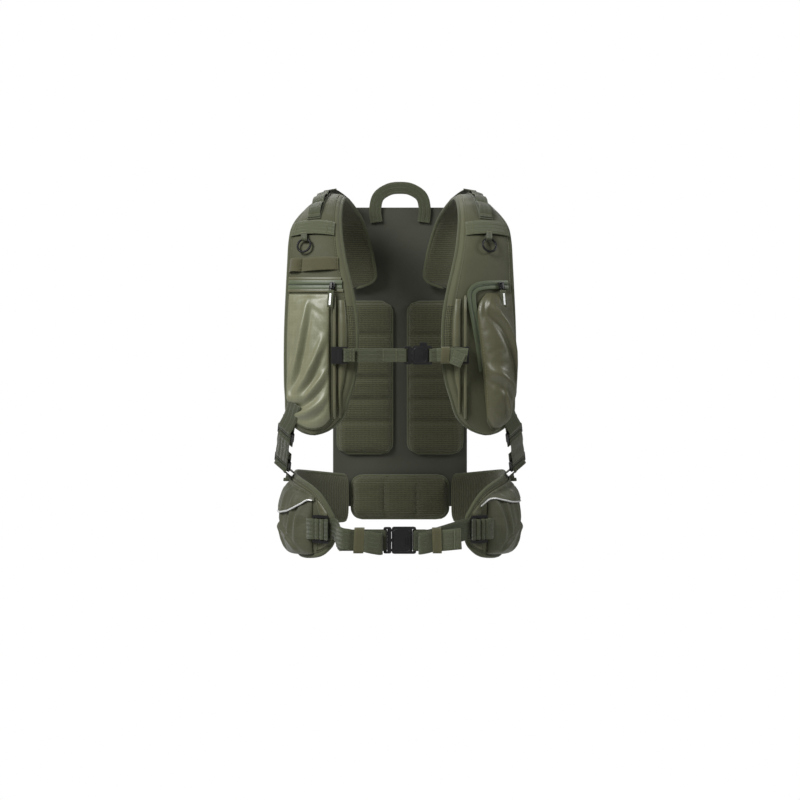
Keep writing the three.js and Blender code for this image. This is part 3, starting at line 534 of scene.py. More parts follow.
def halve(high: float, passes: int, short: Callable[[float], bool]) -> float:
    """Finds where a test that holds from zero on stops holding.

    Args:
        high: End of the range.
        passes: How often the range is halved.
        short: The test.

    Returns:
        The place where it stops.
    """
    low = 0.0
    for _ in range(passes):
        mid = (low + high) / 2
        low, high = (mid, high) if short(mid) else (low, mid)
    return (low + high) / 2


def stations(points: Sequence[Vector], across: Vector | Callable[[Vector], Vector]) -> list[Station]:
    """Sets up the frames of a strip along a line."""
    result = []
    for k, p in enumerate(points):
        ahead = points[min(k + 1, len(points) - 1)] - points[max(k - 1, 0)]
        side = Vector(across(p) if callable(across) else across)
        side -= ahead * (side.dot(ahead) / max(ahead.length_squared, 1e-12))
        side.normalize()
        result.append(Station(Vector(p), side, ahead.cross(side).normalized()))
    return result


def strip(pile: Pile, line: Sequence[Station], width: float, thick: float, finish,
          belly: float = 0.0) -> None:
    """Adds a flat strap with rounded edges along stations.

    Args:
        pile: Where the solid goes.
        line: Stations of the strap's middle.
        width: Width of the strap.
        thick: Thickness of the strap.
        finish: Its finish.
        belly: How far the middle of the width stands out.
    """
    across = [-0.5, -0.47, -0.3, -0.1, 0.1, 0.3, 0.47, 0.5]
    rings = []
    for s in line:
        ring = []
        for face, places in ((1, across), (-1, across[::-1])):
            for a in places:
                edge = 0.5 if abs(a) < 0.48 else 0.14
                bow = belly * (1 - 4 * a * a)
                ring.append(tuple(s.at + s.across * (a * width) + s.out * (face * edge * thick + bow)))
        rings.append(ring)
    pile.loft(rings, finish)


def rope(pile: Pile, points: Sequence[Vector], radius: float, finish, sides: int = 10, closed: bool = False,
         flat: float = 1.0, out: Callable[[Vector], Vector] | None = None) -> None:
    """Adds a round or flattened piping along a line."""
    frame = stations(points, out or (lambda p: UP))
    rings = []
    count = len(frame)
    for k, s in enumerate(frame):
        if closed:
            ahead = points[(k + 1) % count] - points[k - 1]
            side = Vector(out(points[k]) if out else UP)
            side -= ahead * (side.dot(ahead) / ahead.length_squared)
            side.normalize()
            s = Station(points[k], side, ahead.cross(side).normalized())
        end = 1.0 if closed or 0 < k < count - 1 else 0.55
        rings.append([
            tuple(s.at + (s.across * math.cos(a) * radius * flat + s.out * math.sin(a) * radius) * end)
            for a in (2 * math.pi * i / sides for i in range(sides))
        ])
    pile.loft(rings, finish, loop=closed)


def stitch(pile: Pile, points: Sequence[Vector], normal: Callable[[Vector], Vector], length: float = 0.0028,
           gap: float = 0.0014, radius: float = 0.00038, finish=None) -> None:
    """Adds a row of thread stitches that lie on a surface."""
    run = even(points, length + gap)
    for k in range(len(run) - 1):
        ahead = (run[k + 1] - run[k]).normalized()
        up = normal(run[k]).normalized()
        side = ahead.cross(up).normalized()
        rings = []
        for share, size, lift in ((0.0, 0.4, -0.6), (0.2, 1.0, 0.35), (0.8, 1.0, 0.35), (1.0, 0.4, -0.6)):
            mid = run[k] + ahead * (share * length) + up * (lift * radius)
            rings.append([
                tuple(mid + (side * math.cos(a) + up * math.sin(a)) * radius * size)
                for a in (math.pi / 4 + math.pi / 2 * i for i in range(4))
            ])
        pile.loft(rings, finish or THREAD)


# --------------------------------------------------------------------------- surfaces of the frame
def tree_of(node: bpy.types.Object) -> BVHTree:
    """Makes a search tree of a node of the frame."""
    mesh = node.data
    return BVHTree.FromPolygons([v.co.copy() for v in mesh.vertices],
                                [tuple(p.vertices) for p in mesh.polygons])


class Padding:
    """A padded part as two smooth grids, its outer face and its wearer's face.

    Args:
        outer: Grid of the outer face, shape (rows, columns, 3).
        under: Grid of the face against the wearer.
    """

    def __init__(self, outer: np.ndarray, under: np.ndarray, keys: Sequence[float] = ()) -> None:
        away = outer - under
        thick = np.linalg.norm(away, axis=2, keepdims=True)
        usual = np.median(thick)
        outer = under + away / thick * np.minimum(thick, usual * 1.3)
        self.outer = self._relaxed(outer)
        self.under = self._relaxed(under)
        self.keys = list(keys)
        self.rows, self.columns = outer.shape[:2]
        run = distances(self.outer[:, self.columns // 2])
        self.length = float(run[-1])
        self.share = run / run[-1]

    @staticmethod
    def _relaxed(grid: np.ndarray, passes: int = 10) -> np.ndarray:
        grid = grid.copy()
        for _ in range(passes):
            grid[1:-1] = 0.25 * grid[:-2] + 0.5 * grid[1:-1] + 0.25 * grid[2:]
        for _ in range(3):
            grid[:, 1:-1] = 0.25 * grid[:, :-2] + 0.5 * grid[:, 1:-1] + 0.25 * grid[:, 2:]
        return grid

    def _pick(self, grid: np.ndarray, u: float, v: float) -> np.ndarray:
        i = np.interp(min(max(u, 0), 1), self.share, np.arange(self.rows))
        j = min(max(v, 0), 1) * (self.columns - 1)
        i0, j0 = min(int(i), self.rows - 2), min(int(j), self.columns - 2)
        a, b = i - i0, j - j0
        return ((1 - a) * (1 - b) * grid[i0, j0] + a * (1 - b) * grid[i0 + 1, j0]
                + (1 - a) * b * grid[i0, j0 + 1] + a * b * grid[i0 + 1, j0 + 1])

    def normal(self, u: float, v: float) -> Vector:
        """Outward direction of the outer face."""
        e = 0.012
        vv = min(max(v, 0.04), 0.96)
        along = self._pick(self.outer, u + e, vv) - self._pick(self.outer, u - e, vv)
        across = self._pick(self.outer, u, vv + 0.04) - self._pick(self.outer, u, vv - 0.04)
        n = Vector(tuple(np.cross(across, along))).normalized()
        away = Vector(tuple(self._pick(self.outer, u, vv) - self._pick(self.under, u, vv)))
        return n if n.dot(away) > 0 else -n

    def at(self, u: float, v: float, h: float = 0.0) -> Vector:
        """A point on the outer face, or at a height above it."""
        return Vector(tuple(self._pick(self.outer, u, v))) + self.normal(u, v) * h

    def below(self, u: float, v: float) -> Vector:
        """A point on the face against the wearer."""
        return Vector(tuple(self._pick(self.under, u, v)))

    def u_at(self, z: float, v: float = 0.5, top: float = 0.62) -> float:
        """Share of the length where the front of the outer face is at a height."""
        return halve(top, 26, lambda u: self._pick(self.outer, u, v)[2] < z)

    def u_of(self, key: float) -> float:
        """Share of the length of the row that was read at a key, such as an angle."""
        return float(np.interp(key, self.keys, self.share))

    def v_at(self, u: float, x: float) -> float:
        """Share of the width where the outer face is at a distance from the middle plane."""
        return halve(1.0, 22, lambda v: abs(self._pick(self.outer, u, v)[0]) < abs(x))


def probe(tree: BVHTree, start: Vector, way: Vector) -> tuple[Vector, Vector] | None:
    """Finds the near and far face of a padded part along a ray, or None where it has no foam."""
    near = tree.ray_cast(start, way)[0]
    if near is None:
        return None
    far = tree.ray_cast(near + way * 0.0002, way)[0]
    if far is None or not 0.006 < (far - near).length < 0.04:
        return None
    return near, far


def scan(tree: BVHTree, place: Callable[[float], tuple[Vector, Vector]], low: float, high: float,
         columns: int) -> tuple[list, list] | None:
    """Samples one row of a padded part between its own two edges.

    Args:
        tree: The part's search tree.
        place: Gives a ray for a place across the part.
        low: First place to try.
        high: Last place to try.
        columns: Number of samples.

    Returns:
        The outer and the under points, or None where the row misses.
    """
    steps = np.linspace(low, high, 70)
    hits = [t for t in steps if probe(tree, *place(t))]
    if len(hits) < 4:
        return None
    edges = []
    for inside, outside in ((hits[0], hits[0] - (steps[1] - steps[0])),
                            (hits[-1], hits[-1] + steps[1] - steps[0])):
        for _ in range(9):
            mid = (inside + outside) / 2
            if probe(tree, *place(mid)):
                inside = mid
            else:
                outside = mid
        edges.append(inside)
    outer, under = [], []
    for t in np.linspace(edges[0], edges[1], columns):
        t = min(max(t, edges[0] + 1e-5), edges[1] - 1e-5)
        found = probe(tree, *place(t))
        if found is None:
            return None
        under.append(tuple(found[0]))
        outer.append(tuple(found[1]))
    return outer, under


def read_strap(node: bpy.types.Object, side: int) -> Padding:
    """Reads a shoulder strap pad from the frame, from its chest end over the shoulder."""
    tree = tree_of(node)
    turn_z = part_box(node.name)[1].z - 0.085
    low_z = min(v.co.z for v in node.data.vertices)
    rows = [(Vector((0, 0, z)), FRONT) for z in np.arange(low_z + 0.0012, turn_z, READ_STEP)]
    rows += [(Vector((0, 0, turn_z)), Vector((0, -math.cos(a), math.sin(a))))
             for a in np.arange(0.0, math.pi, 0.035)]
    back_z = turn_z
    while back_z > low_z:
        rows.append((Vector((0, 0, back_z)), BEHIND))
        back_z -= READ_STEP
    outer, under = [], []
    for start, way in rows:
        found = scan(tree, lambda x: (start + Vector((side * x, 0, 0)), way), 0.02, 0.19, 17)
        if found:
            outer.append(found[0])
            under.append(found[1])
    LOG.info("%s: %d rows read", node.name, len(outer))
    return Padding(rounded_end(np.array(outer), side), rounded_end(np.array(under), side))


def rounded_end(grid: np.ndarray, side: int, long: float = 0.046, spare: float = 0.004) -> np.ndarray:
    """Gives a strap's chest end a round outline.

    Args:
        grid: Rows of points from the end upwards.
        side: +1 on the wearer's left, -1 on the right.
        long: Length of the rounded part.
        spare: How far the end reaches past the first row that was read.

    Returns:
        The grid with its first rows reshaped.
    """
    bottom = grid[0, 0, 2] - spare
    full = int(np.argmax(grid[:, 0, 2] > bottom + long))
    x_full = side * grid[full, :, 0]
    centre, half = (x_full[0] + x_full[-1]) / 2, (x_full[-1] - x_full[0]) / 2
    low = [grid[0] - np.array([0, 0, spare * k / 5]) for k in (4.6, 3.6, 2.4, 1.2)]
    rows = []
    for row in [*low, *grid[:full]]:
        t = (grid[full, 0, 2] - row[0, 2]) / (grid[full, 0, 2] - bottom)
        wide = half * (1 - t ** 2.5) ** 0.5
        xs = centre + 0.006 * t + np.linspace(-1, 1, len(row)) * wide
        ys = np.interp(xs, side * row[:, 0], row[:, 1])
        rows.append(np.stack([side * xs, ys, row[:, 2]], axis=1))
    return np.concatenate([np.array(rows), grid[full:]])


def read_wing(node: bpy.types.Object, side: int) -> Padding:
    """Reads a hip wing from the frame, from its front tip round to the back."""
    tree = tree_of(node)
    lo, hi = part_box(node.name)
    outer, under, keys = [], [], []
    for degrees in np.arange(20, 170, 1.6):
        a = math.radians(degrees)
        way = Vector((side * math.sin(a), -math.cos(a), 0))
        found = scan(tree, lambda z: (Vector((WAIST_CENTRE.x, WAIST_CENTRE.y, z)), way), lo.z - 0.005,
                     hi.z + 0.005, 13)
        if found:
            fuller = sum(deep * math.exp(-(((degrees - at) / wide) ** 2))
                         for deep, at, wide in ((0.008, 49, 8), (0.007, 86, 12)))
            for points, rows in ((found[0], outer), (found[1], under)):
                share = np.linspace(1, 0, len(points)) ** 1.6
                rows.append([(x, y, z - fuller * t) for (x, y, z), t in zip(points, share)])
            keys.append(degrees)
    LOG.info("%s: %d rows read", node.name, len(outer))
    return Padding(np.array(outer), np.array(under), keys)


def settle(obj: bpy.types.Object, pinned: Callable[[int, Vector], float], pressure: float, slack: float,
           cap: float, frames: int = 14) -> None:
    """Lets a sewn cloth part puff and wrinkle, then keeps the result in its mesh.

    Args:
        obj: The part.
        pinned: Gives each vertex's hold, one where it is sewn down.
        pressure: Air pressure inside.
        slack: Spare cloth, as a share.
        cap: Furthest a point may move.
        frames: Steps of the simulation.
    """
    rest = [v.co.copy() for v in obj.data.vertices]
    group = obj.vertex_groups.new(name="sewn")
    for v in obj.data.vertices:
        hold = pinned(v.index, v.co)
        if hold > 0:
            group.add([v.index], hold, "REPLACE")
    cloth = obj.modifiers.new("settle", "CLOTH")
    s = cloth.settings
    s.quality = 4
    s.mass = 0.25
    s.tension_stiffness = s.compression_stiffness = 12
    s.shear_stiffness = 4
    s.bending_stiffness = 0.12
    s.use_pressure = True
    s.uniform_pressure_force = pressure
    s.shrink_min = -slack
    s.vertex_group_mass = "sewn"
    s.effector_weights.gravity = 0.0
    cloth.collision_settings.use_collision = False
    cloth.point_cache.frame_start, cloth.point_cache.frame_end = 1, frames
    scene = bpy.context.scene
    for frame in range(1, frames + 1):
        scene.frame_set(frame)
    dg = bpy.context.evaluated_depsgraph_get()
    moved = [v.co.copy() for v in obj.evaluated_get(dg).data.vertices]
    obj.modifiers.remove(cloth)
    obj.vertex_groups.remove(group)
    scene.frame_set(1)
    most = 0.0
    for v, before, after in zip(obj.data.vertices, rest, moved):
        step = after - before
        if step.length > cap:
            step *= cap / step.length
        most = max(most, step.length)
        v.co = before + step
    obj.data.update()
    LOG.info("%s settled, at most %.1f mm", obj.name, most * 1000)


def faced(points: Sequence[Vector], normals: Sequence[Vector]) -> list[Station]:
    """Sets up the frames of a line that lies on a surface."""
    result = []
    for k, (p, n) in enumerate(zip(points, normals)):
        ahead = points[min(k + 1, len(points) - 1)] - points[max(k - 1, 0)]
        across = ahead.cross(n).normalized()
        result.append(Station(p, across, across.cross(ahead).normalized()))
    return result


def lay(pad: Padding, route: Sequence[tuple[float, float]], height: float | Callable[[float], float] = 0.001,
        step: float = 0.0025) -> list[Station]:
    """Runs a line over a padded part.

    Args:
        pad: The part.
        route: Places (u, v) that the line passes through.
        height: Height above the outer face, or a function of the share of the line.
        step: Spacing of the stations.

    Returns:
        Stations that face away from the wearer.
    """
    places = flow([Vector((u, v, 0)) for u, v in route], 0.02)
    rough = [pad.at(p.x, p.y) for p in places]
    run = np.concatenate([[0], np.cumsum([(b - a).length for a, b in zip(rough, rough[1:])])])
    count = max(6, int(sum((b - a).length for a, b in zip(rough, rough[1:])) / step))
    us, vs = (np.interp(np.linspace(0, run[-1], count), run, [p[k] for p in places]) for k in (0, 1))
    points = []
    for k, (u, v) in enumerate(zip(us, vs)):
        points.append(pad.at(u, v, height(k / (count - 1)) if callable(height) else height))
    return faced(points, [pad.normal(u, v) for u, v in zip(us, vs)])


def shifted(line: Sequence[Station], across: float = 0.0, out: float = 0.0) -> list[Station]:
    """Moves a line of stations sideways and outwards."""
    return [Station(s.at + s.across * across + s.out * out, s.across, s.out) for s in line]


def seam(pile: Pile, line: Sequence[Station], lift: float = 0.0004, **settings) -> None:
    """Sews a row of stitches along stations."""
    points = [s.at + s.out * lift for s in line]
    normals = {i: s.out for i, s in enumerate(line)}
    array = np.array([tuple(p) for p in points])

    def normal(p: Vector) -> Vector:
        return normals[int(np.argmin(((array - np.array(p)) ** 2).sum(axis=1)))]

    stitch(pile, points, normal, **settings)


def bartack(pile: Pile, s: Station, wide: float, finish=None) -> None:
    """Sews a dense bar of thread across a strap."""
    along = s.across.cross(s.out).normalized()
    count, slant = 9, along * 0.0011
    for k in range(count):
        base = s.at + s.across * ((k / (count - 1) - 0.5) * wide)
        stitch(pile, [base - slant, base + slant + s.across * 0.0006], lambda p: s.out, length=0.0022,
               gap=0.0001,
               radius=0.00045, finish=finish)


def sew_tacks(name: str, body: str, spots: Sequence[Station], wide: float, finish=None) -> None:
    """Builds a piece of bar tacks, one at each place.

    Args:
        name: Name of the piece.
        body: Body that it rides on.
        spots: Middle of each tack.
        wide: Width of a tack.
        finish: Its thread, where it isn't the usual one.
    """
    pile = Pile()
    for s in spots:
        bartack(pile, s, wide, finish)
    pile.build(name, body)


def sew_web(name: str, body: str, points: Sequence[Vector], across, step: float, wide: float, finish,
            replaces: Sequence[str] = (), thick: float = WEB_THICK) -> None:
    """Builds one length of webbing through points.

    Args:
        name: Name of the piece.
        body: Body that it rides on.
        points: Points of its middle line.
        across: The way across it, or a function of the place.
        step: Spacing of its stations.
        wide: Its width.
        finish: Its finish.
        replaces: Nodes of the frame that it stands for.
        thick: Its thickness.
    """
    pile = Pile()
    strip(pile, stations(flow(points, step), across), wide, thick, finish)
    pile.build(name, body, replaces)


def half_turn(bar: Vector, ahead: Vector, out: Vector, radius: float) -> list[Vector]:
    """Points of webbing half way round a bar, from its outer side past its far side."""
    angles = (math.pi * k / 8 for k in range(9))
    return [bar + ahead * (math.sin(a) * radius) + out * (math.cos(a) * radius) for a in angles]


def cover(pad: Padding, us: Sequence[float], vs: Sequence[float], fold: float, tips: float,
          relief: Callable[[Vector, float], float]) -> list[list[tuple]]:
    """Rings of the covers of a foam part, pinched thin at its edges.

    Args:
        pad: The part.
        us: Places along it.
        vs: Places across it.
        fold: Width of the thinned edge, as a share.
        tips: How much the underside stays flat toward the two ends.
        relief: Height of wrinkles and grooves at a point and a place across.

    Returns:
        One closed ring of points for each place along.
    """
    rings = []
    for u in us:
        top, low = [], []
        for v in vs:
            edge = min(v, 1 - v)
            swell = 1 - 0.5 * max(0.0, 1 - edge / fold) ** 2.2
            outer, under = pad.at(u, v), pad.below(u, v)
            away = outer - under
            top.append(tuple(under + away * swell + away.normalized() * relief(outer, v)))
            tucked = max(0.0, 1 - (edge + tips * min(u, 1 - u)) / 0.06)
            low.append(tuple(under + away * 0.16 * tucked ** 2))
        rings.append(top + low[::-1])
    return rings


def bind_edge(name: str, pad: Padding, rows: int, tip: int, outer_share: float, middle_us: Sequence[float],
              radius: float, flat: float) -> None:
    """Builds the tape folded round a foam part's edge, down one side and up the other.

    Args:
        name: Name of the piece.
        pad: The part.
        rows: Points down each side.
        tip: Points round the end.
        outer_share: Height of the tape on the edge, one at the outer face.
        middle_us: Places of the part's middle line, which the tape faces away from.
        radius: Half the tape's thickness.
        flat: How much wider than thick it is.
    """
    edge = lambda u, v: pad.at(u, v) * outer_share + pad.below(u, v) * (1 - outer_share)
    points = [edge(u, 0) for u in np.linspace(1, 0, rows)]
    points += [edge(0, v) for v in np.linspace(0, 1, tip)[1:-1]]
    points += [edge(u, 1) for u in np.linspace(0, 1, rows)]
    middle = [pad.at(u, 0.5) for u in middle_us]
    pile = Pile()
    rope(pile, flow(points[::2] + [points[-1]], 0.004), radius, TAPE, flat=flat,
         out=lambda p: p - min(middle, key=lambda m: (m - p).length_squared))
    pile.build(name, "harness")


def cushion(node: str, rows: int, columns: int, corner: float, flat_y: float,
            swelled_y: Callable[[float, float, float, float, float], float]) -> tuple[list, list]:
    """Grids of a flat-backed cushion with round corners.

    Args:
        node: Node of the frame that it fills.
        rows: Rows of the grids.
        columns: Columns of the grids.
        corner: Radius of the corners.
        flat_y: Depth of the flat face.
        swelled_y: Depth of the other face, from a, b, x, z and the half width of the row.

    Returns:
        The swelled grid and the flat grid.
    """
    lo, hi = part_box(node)
    centre, size = (lo + hi) / 2, hi - lo
    swelled, flat = [], []
    for a in np.linspace(-1, 1, rows):
        z = centre.z + a * size.z / 2
        over = max(0.0, abs(a) * size.z / 2 - (size.z / 2 - corner))
        half = size.x / 2 - corner + math.sqrt(max(0.0, corner * corner - over * over))
        across = [(b, centre.x + b * half) for b in np.linspace(-1, 1, columns)]
        swelled.append([(x, swelled_y(a, b, x, z, half), z) for b, x in across])
        flat.append([(x, flat_y, z) for _, x in across])
    return swelled, flat


def sewn_border(rows: int, columns: int, fixed: int, most: float, least: float,
                fall: float) -> Callable[[int, Vector], float]:
    """Holds a grid at its border and ever less toward its middle.

    Args:
        rows: Rows of the grid.
        columns: Columns of the grid.
        fixed: Last row from the border that is held fast.
        most: Hold that the inner rows start from.
        least: Hold in the middle.
        fall: Loss of hold from row to row.

    Returns:
        The hold of a vertex, from its index and place.
    """
    def held(index: int, place: Vector) -> float:
        if index >= rows * columns:
            return 1.0
        i, j = divmod(index, columns)
        edge = min(i, rows - 1 - i, j, columns - 1 - j)
        return 1.0 if edge <= fixed else max(least, most - edge * fall)

    return held


@dataclass
class Plate:
    """A flat rectangular fitting: its middle and its three axes, longest side first."""

    centre: Vector
    axes: list[Vector]
    sizes: list[float]


def plate_of(name: str) -> Plate:
    """Finds how a flat fitting of the frame stands."""
    node = bpy.data.objects[name]
    points = np.array([tuple(v.co) for v in node.data.vertices])
    centre = (points.max(0) + points.min(0)) / 2
    _, vectors = np.linalg.eigh(np.cov((points - centre).T))
    spans = []
    for k in range(3):
        reach = (points - centre) @ vectors[:, k]
        spans.append((reach.max() - reach.min(), k))
    spans.sort(reverse=True)
    axes = [Vector(tuple(vectors[:, k])) for _, k in spans]
    return Plate(Vector(tuple(centre)), axes, [span for span, _ in spans])


# --------------------------------------------------------------------------- shoulder straps
@dataclass
class Strap:
    """One shoulder strap: its padded body and everything sewn to it."""

    key: str
    side: int
    band: float = 0.0245
    web: float = WEB_THICK
    pad: Padding = field(init=False)

    def __post_init__(self) -> None:
        self.pad = read_strap(bpy.data.objects[f"strap_pad_{self.key}"], self.side)

    def name(self, stem: str) -> str:
        """Name of one of this strap's pieces."""
        return f"{stem}_{self.key}"

    def place(self, z: float, x: float) -> tuple[float, float]:
        """Place on the pad of a height and a distance from the middle plane."""
        u = self.pad.u_at(z)
        for _ in range(3):
            v = self.pad.v_at(u, x)
            u = self.pad.u_at(z, v)
        return u, v

    def build(self) -> None:
        """Builds all of the strap's pieces."""
        self.body()
        self.binding()
        self.band_across()
        self.daisy()
        self.ring_tab()
        self.rail()
        self.zip()
        self.pull()

    def body(self) -> None:
        """The foam pad in its covers: cloth outside, spacer mesh against the wearer."""
        pad, groove_v = self.pad, 0.118
        vs = [0, 0.006, 0.02, 0.045, 0.075, 0.105, groove_v, 0.131, 0.16, 0.22, 0.3, 0.4, 0.5, 0.6, 0.7,
              0.78, 0.84,
              0.89, 0.93, 0.96, 0.98, 0.994, 1]
        us = np.linspace(0, 1, 210)

        def relief(p: Vector, v: float) -> float:
            groove = 0.0011 * math.exp(-(((v - groove_v) / 0.014) ** 2))
            return 0.0005 * noise.noise(p * 30) + 0.00045 * noise.noise(p * 85) - groove

        mesh_low, mesh_high = pad.u_at(-0.232, 0.05), pad.u_at(-0.160, 0.05)

        def finish(i: int, k: int) -> Textile:
            if k >= len(vs) - 1:
                return MESH
            if vs[k] < groove_v:
                return MESH if mesh_low < us[i] < mesh_high else TAPE_CLOTH
            return SHELL

        pile = Pile()
        pile.loft(cover(pad, us, vs, 0.11, 0.0, relief), SHELL, face_finish=finish)
        obj = pile.build(self.name("Strap_pad"), "harness", [f"strap_pad_{self.key}"], sharp=60)
        thread = Pile()
        for v in (0.135, 0.965):
            line = lay(pad, [(u, v) for u in np.linspace(0.03, 0.97, 24)], 0.0)
            seam(thread, line, lift=-0.0002 if v > 0.5 else 0.0002)
        thread.build(self.name("Strap_seams"), "harness")

    def binding(self) -> None:
        """Tape folded round the pad's edge."""
        bind_edge(self.name("Strap_binding"), self.pad, 170, 9, 0.32, np.linspace(0, 1, 60), 0.0026, 1.25)

    def band_across(self) -> None:
        """Webbing across the strap under the shoulder, sewn at both edges and proud between them."""
        z = sum(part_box(f"cross_band_{self.key}")[k].z for k in (0, 1)) / 2
        pad = self.pad
        dip = lambda v: 0.003 * (1 - math.sin(math.pi * v))
        route = [(pad.u_at(z - dip(v), v), v) for v in (0.125, 0.3, 0.5, 0.7, 0.86, 0.985)]
        line = lay(pad, route, lambda t: 0.0009 + 0.0026 * math.sin(math.pi * t) ** 0.8)
        pile = Pile()
        strip(pile, line, self.band, self.web, WEB_PALE)
        pile.build(self.name("Cross_band"), "harness", [f"cross_band_{self.key}"])
        spots = []
        for edge, inner in ((2, 4), (-3, -5)):
            s = line[edge]
            spots += [Station(line[k].at + s.out * self.web * 0.55, s.across, s.out) for k in (edge, inner)]
        sew_tacks(self.name("Cross_band_tacks"), "harness", spots, self.band * 0.82)

    def daisy(self) -> None:
        """Webbing up the shoulder with loops tacked into it."""
        pad = self.pad
        lo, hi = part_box(f"daisy_strip_{self.key}")
        u0, u1 = pad.u_at(lo.z - 0.004, 0.55), pad.u_at(hi.z - 0.001, 0.55)
        u2 = u1 + 0.055
        between = [((u0 + u1) / 2, 0.555), (u1, 0.55)]
        pile = Pile()
        strip(pile, lay(pad, [(u0, 0.56), *between, (u2, 0.545)], 0.0011), 0.021, self.web, WEB)
        arches = 3
        tacks = np.linspace(0.06, 0.97, arches + 1)

        def rise(t: float) -> float:
            k = min(arches - 1, max(0, int(np.searchsorted(tacks, t)) - 1))
            local = min(1.0, max(0.0, (t - tacks[k]) / (tacks[k + 1] - tacks[k])))
            return 0.0028 + 0.0036 * math.sin(math.pi * local) ** 0.7

        top = lay(pad, [(u0 + 0.004, 0.56), *between, (u2 - 0.003, 0.545)], rise, 0.0012)
        strip(pile, top, 0.019, self.web, WEB)
        pile.build(self.name("Daisy_strip"), "harness", [f"daisy_strip_{self.key}"])
        spots = [top[min(len(top) - 1, int(t * (len(top) - 1)))] for t in tacks]
        sew_tacks(self.name("Daisy_tacks"), "harness", shifted(spots, 0, self.web * 0.6), 0.016)

    def ring_tab(self) -> None:
        """Small webbing loop that hangs from under the band and holds the ring."""
        pin = joint_point(f"ring_swing_{self.key}")
        pad = self.pad
        u = pad.u_at(pin.z, 0.5)
        v = pad.v_at(u, pin.x)
        normal = pad.normal(u, v)
        up = (pad.at(u + 0.02, v) - pad.at(u, v)).normalized()
        wire, room = 0.0017, 0.0007
        loop = [pad.at(u, v, 0.0009) + up * d for d in (0.0165, 0.011, 0.0065)]
        loop += half_turn(pin, -up, -normal, wire + room + self.web / 2)
        loop += [pad.at(u, v, 0.0046) + up * 0.009, pad.at(u, v, 0.0028) + up * 0.0165]
        across = (pad.at(u, v + 0.1) - pad.at(u, v - 0.1)).normalized()
        sew_web(self.name("Ring_tab"), "harness", loop, across, 0.0011, 0.0092, WEB, [f"ring_tab_{self.key}"],
                self.web * 0.8)
        spot = Station(pad.at(u, v, 0.0052) + up * 0.0092, across, normal)
        sew_tacks(self.name("Ring_tab_tack"), "harness", [spot], 0.0075)

    def rail(self) -> None:
        """Cloth-covered rail the sternum clip rides on, sewn down at both ends."""
        pad = self.pad
        lo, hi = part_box(f"sternum_rail_{self.key}")
        x = abs(lo.x + hi.x) / 2
        tree = tree_of(bpy.data.objects[f"sternum_rail_{self.key}"])
        points = []
        for z in np.linspace(lo.z + 0.001, hi.z - 0.001, 50):
            hit = tree.ray_cast(Vector((self.side * x, -0.4, z)), BEHIND)[0]
            if hit:
                points.append(hit + Vector((0, 0.0022, 0)))
        low_u, low_v = self.place(points[0].z - 0.016, x)
        top_u, top_v = self.place(points[-1].z + 0.014, x)
        points = [pad.at(low_u, low_v, 0.001), *points, pad.at(top_u, top_v, 0.001)]
        points = flow([points[0]] + points[1:-1:4] + [points[-1]], 0.003)
        pile = Pile()
        rope(pile, points, 0.0022, COATED_DARK, sides=12, out=lambda p: Vector((self.side, 0, 0)))
        clear_low, clear_high = lo.z + 0.036, hi.z - 0.028
        for part in ([p for p in points if p.z < clear_low], [p for p in points if p.z > clear_high]):
            rings = []
            for p in part:
                u, v = self.place(p.z, x)
                foot = pad.at(u, v, -0.0004)
                head = p + (foot - p) * 0.2
                rings.append([tuple(q + LEFT * d) for q, d in
                              ((head, -0.0007), (head, 0.0007), (foot, 0.0011), (foot, -0.0011))])
            pile.loft(rings, COATED_DARK)
        pile.build(self.name("Rail_piping"), "harness", [f"sternum_rail_{self.key}"])

    def zip(self) -> None:
        """The chest zip: two tape edges over the coil."""
        raise NotImplementedError

    def panel_place(self, low_z: float, top_z: float, seam_x: Callable[[float], float],
                    outer_v: float) -> Callable[[float, float], tuple[float, float]]:
        """Gives the places of a pocket between two heights, from a seam to the outer edge.

        Args:
            low_z: Height of its low end.
            top_z: Height of its top.
            seam_x: Distance of its inner seam from the middle plane, by share of the height.
            outer_v: Place of its outer edge on the pad.

        Returns:
            A function from (a, b) to (u, v).
        """
        pad = self.pad

        def place(a: float, b: float) -> tuple[float, float]:
            z = low_z + (top_z - low_z) * a + 0.016 * abs(2 * b - 1) ** 2.6 * (1 - a) ** 3
            v0 = max(0.075, pad.v_at(pad.u_at(z, 0.6), seam_x(a)))
            v0 = min(v0, outer_v - 0.2)
            v = v0 + (outer_v - v0) * b
            return pad.u_at(z, v), v

        return place

    def edging(self, panel: "SoftPanel", stem: str) -> None:
        """Piping round a pocket's outer border and a row of stitches along its seam."""
        border = [(0.0, b) for b in np.linspace(0.02, 1, 12)] + [(a, 1.0) for a in np.linspace(0, 1, 40)[1:]]
        rim = [self.pad.at(*panel.place(a, b), panel.rim) for a, b in border]
        middle = self.pad.at(*panel.place(0.5, 0.5))
        piping = Pile()
        rope(piping, flow(rim[::2] + [rim[-1]], 0.004), 0.0013, TAPE, sides=8, out=lambda p: p - middle)
        piping.build(self.name(stem + "_piping"), "harness")
        thread = Pile()
        seam(thread, panel.run([(a, 0.035) for a in np.linspace(0.02, 0.98, 40)]), lift=0.0002)
        thread.build(self.name(stem + "_stitches"), "harness")

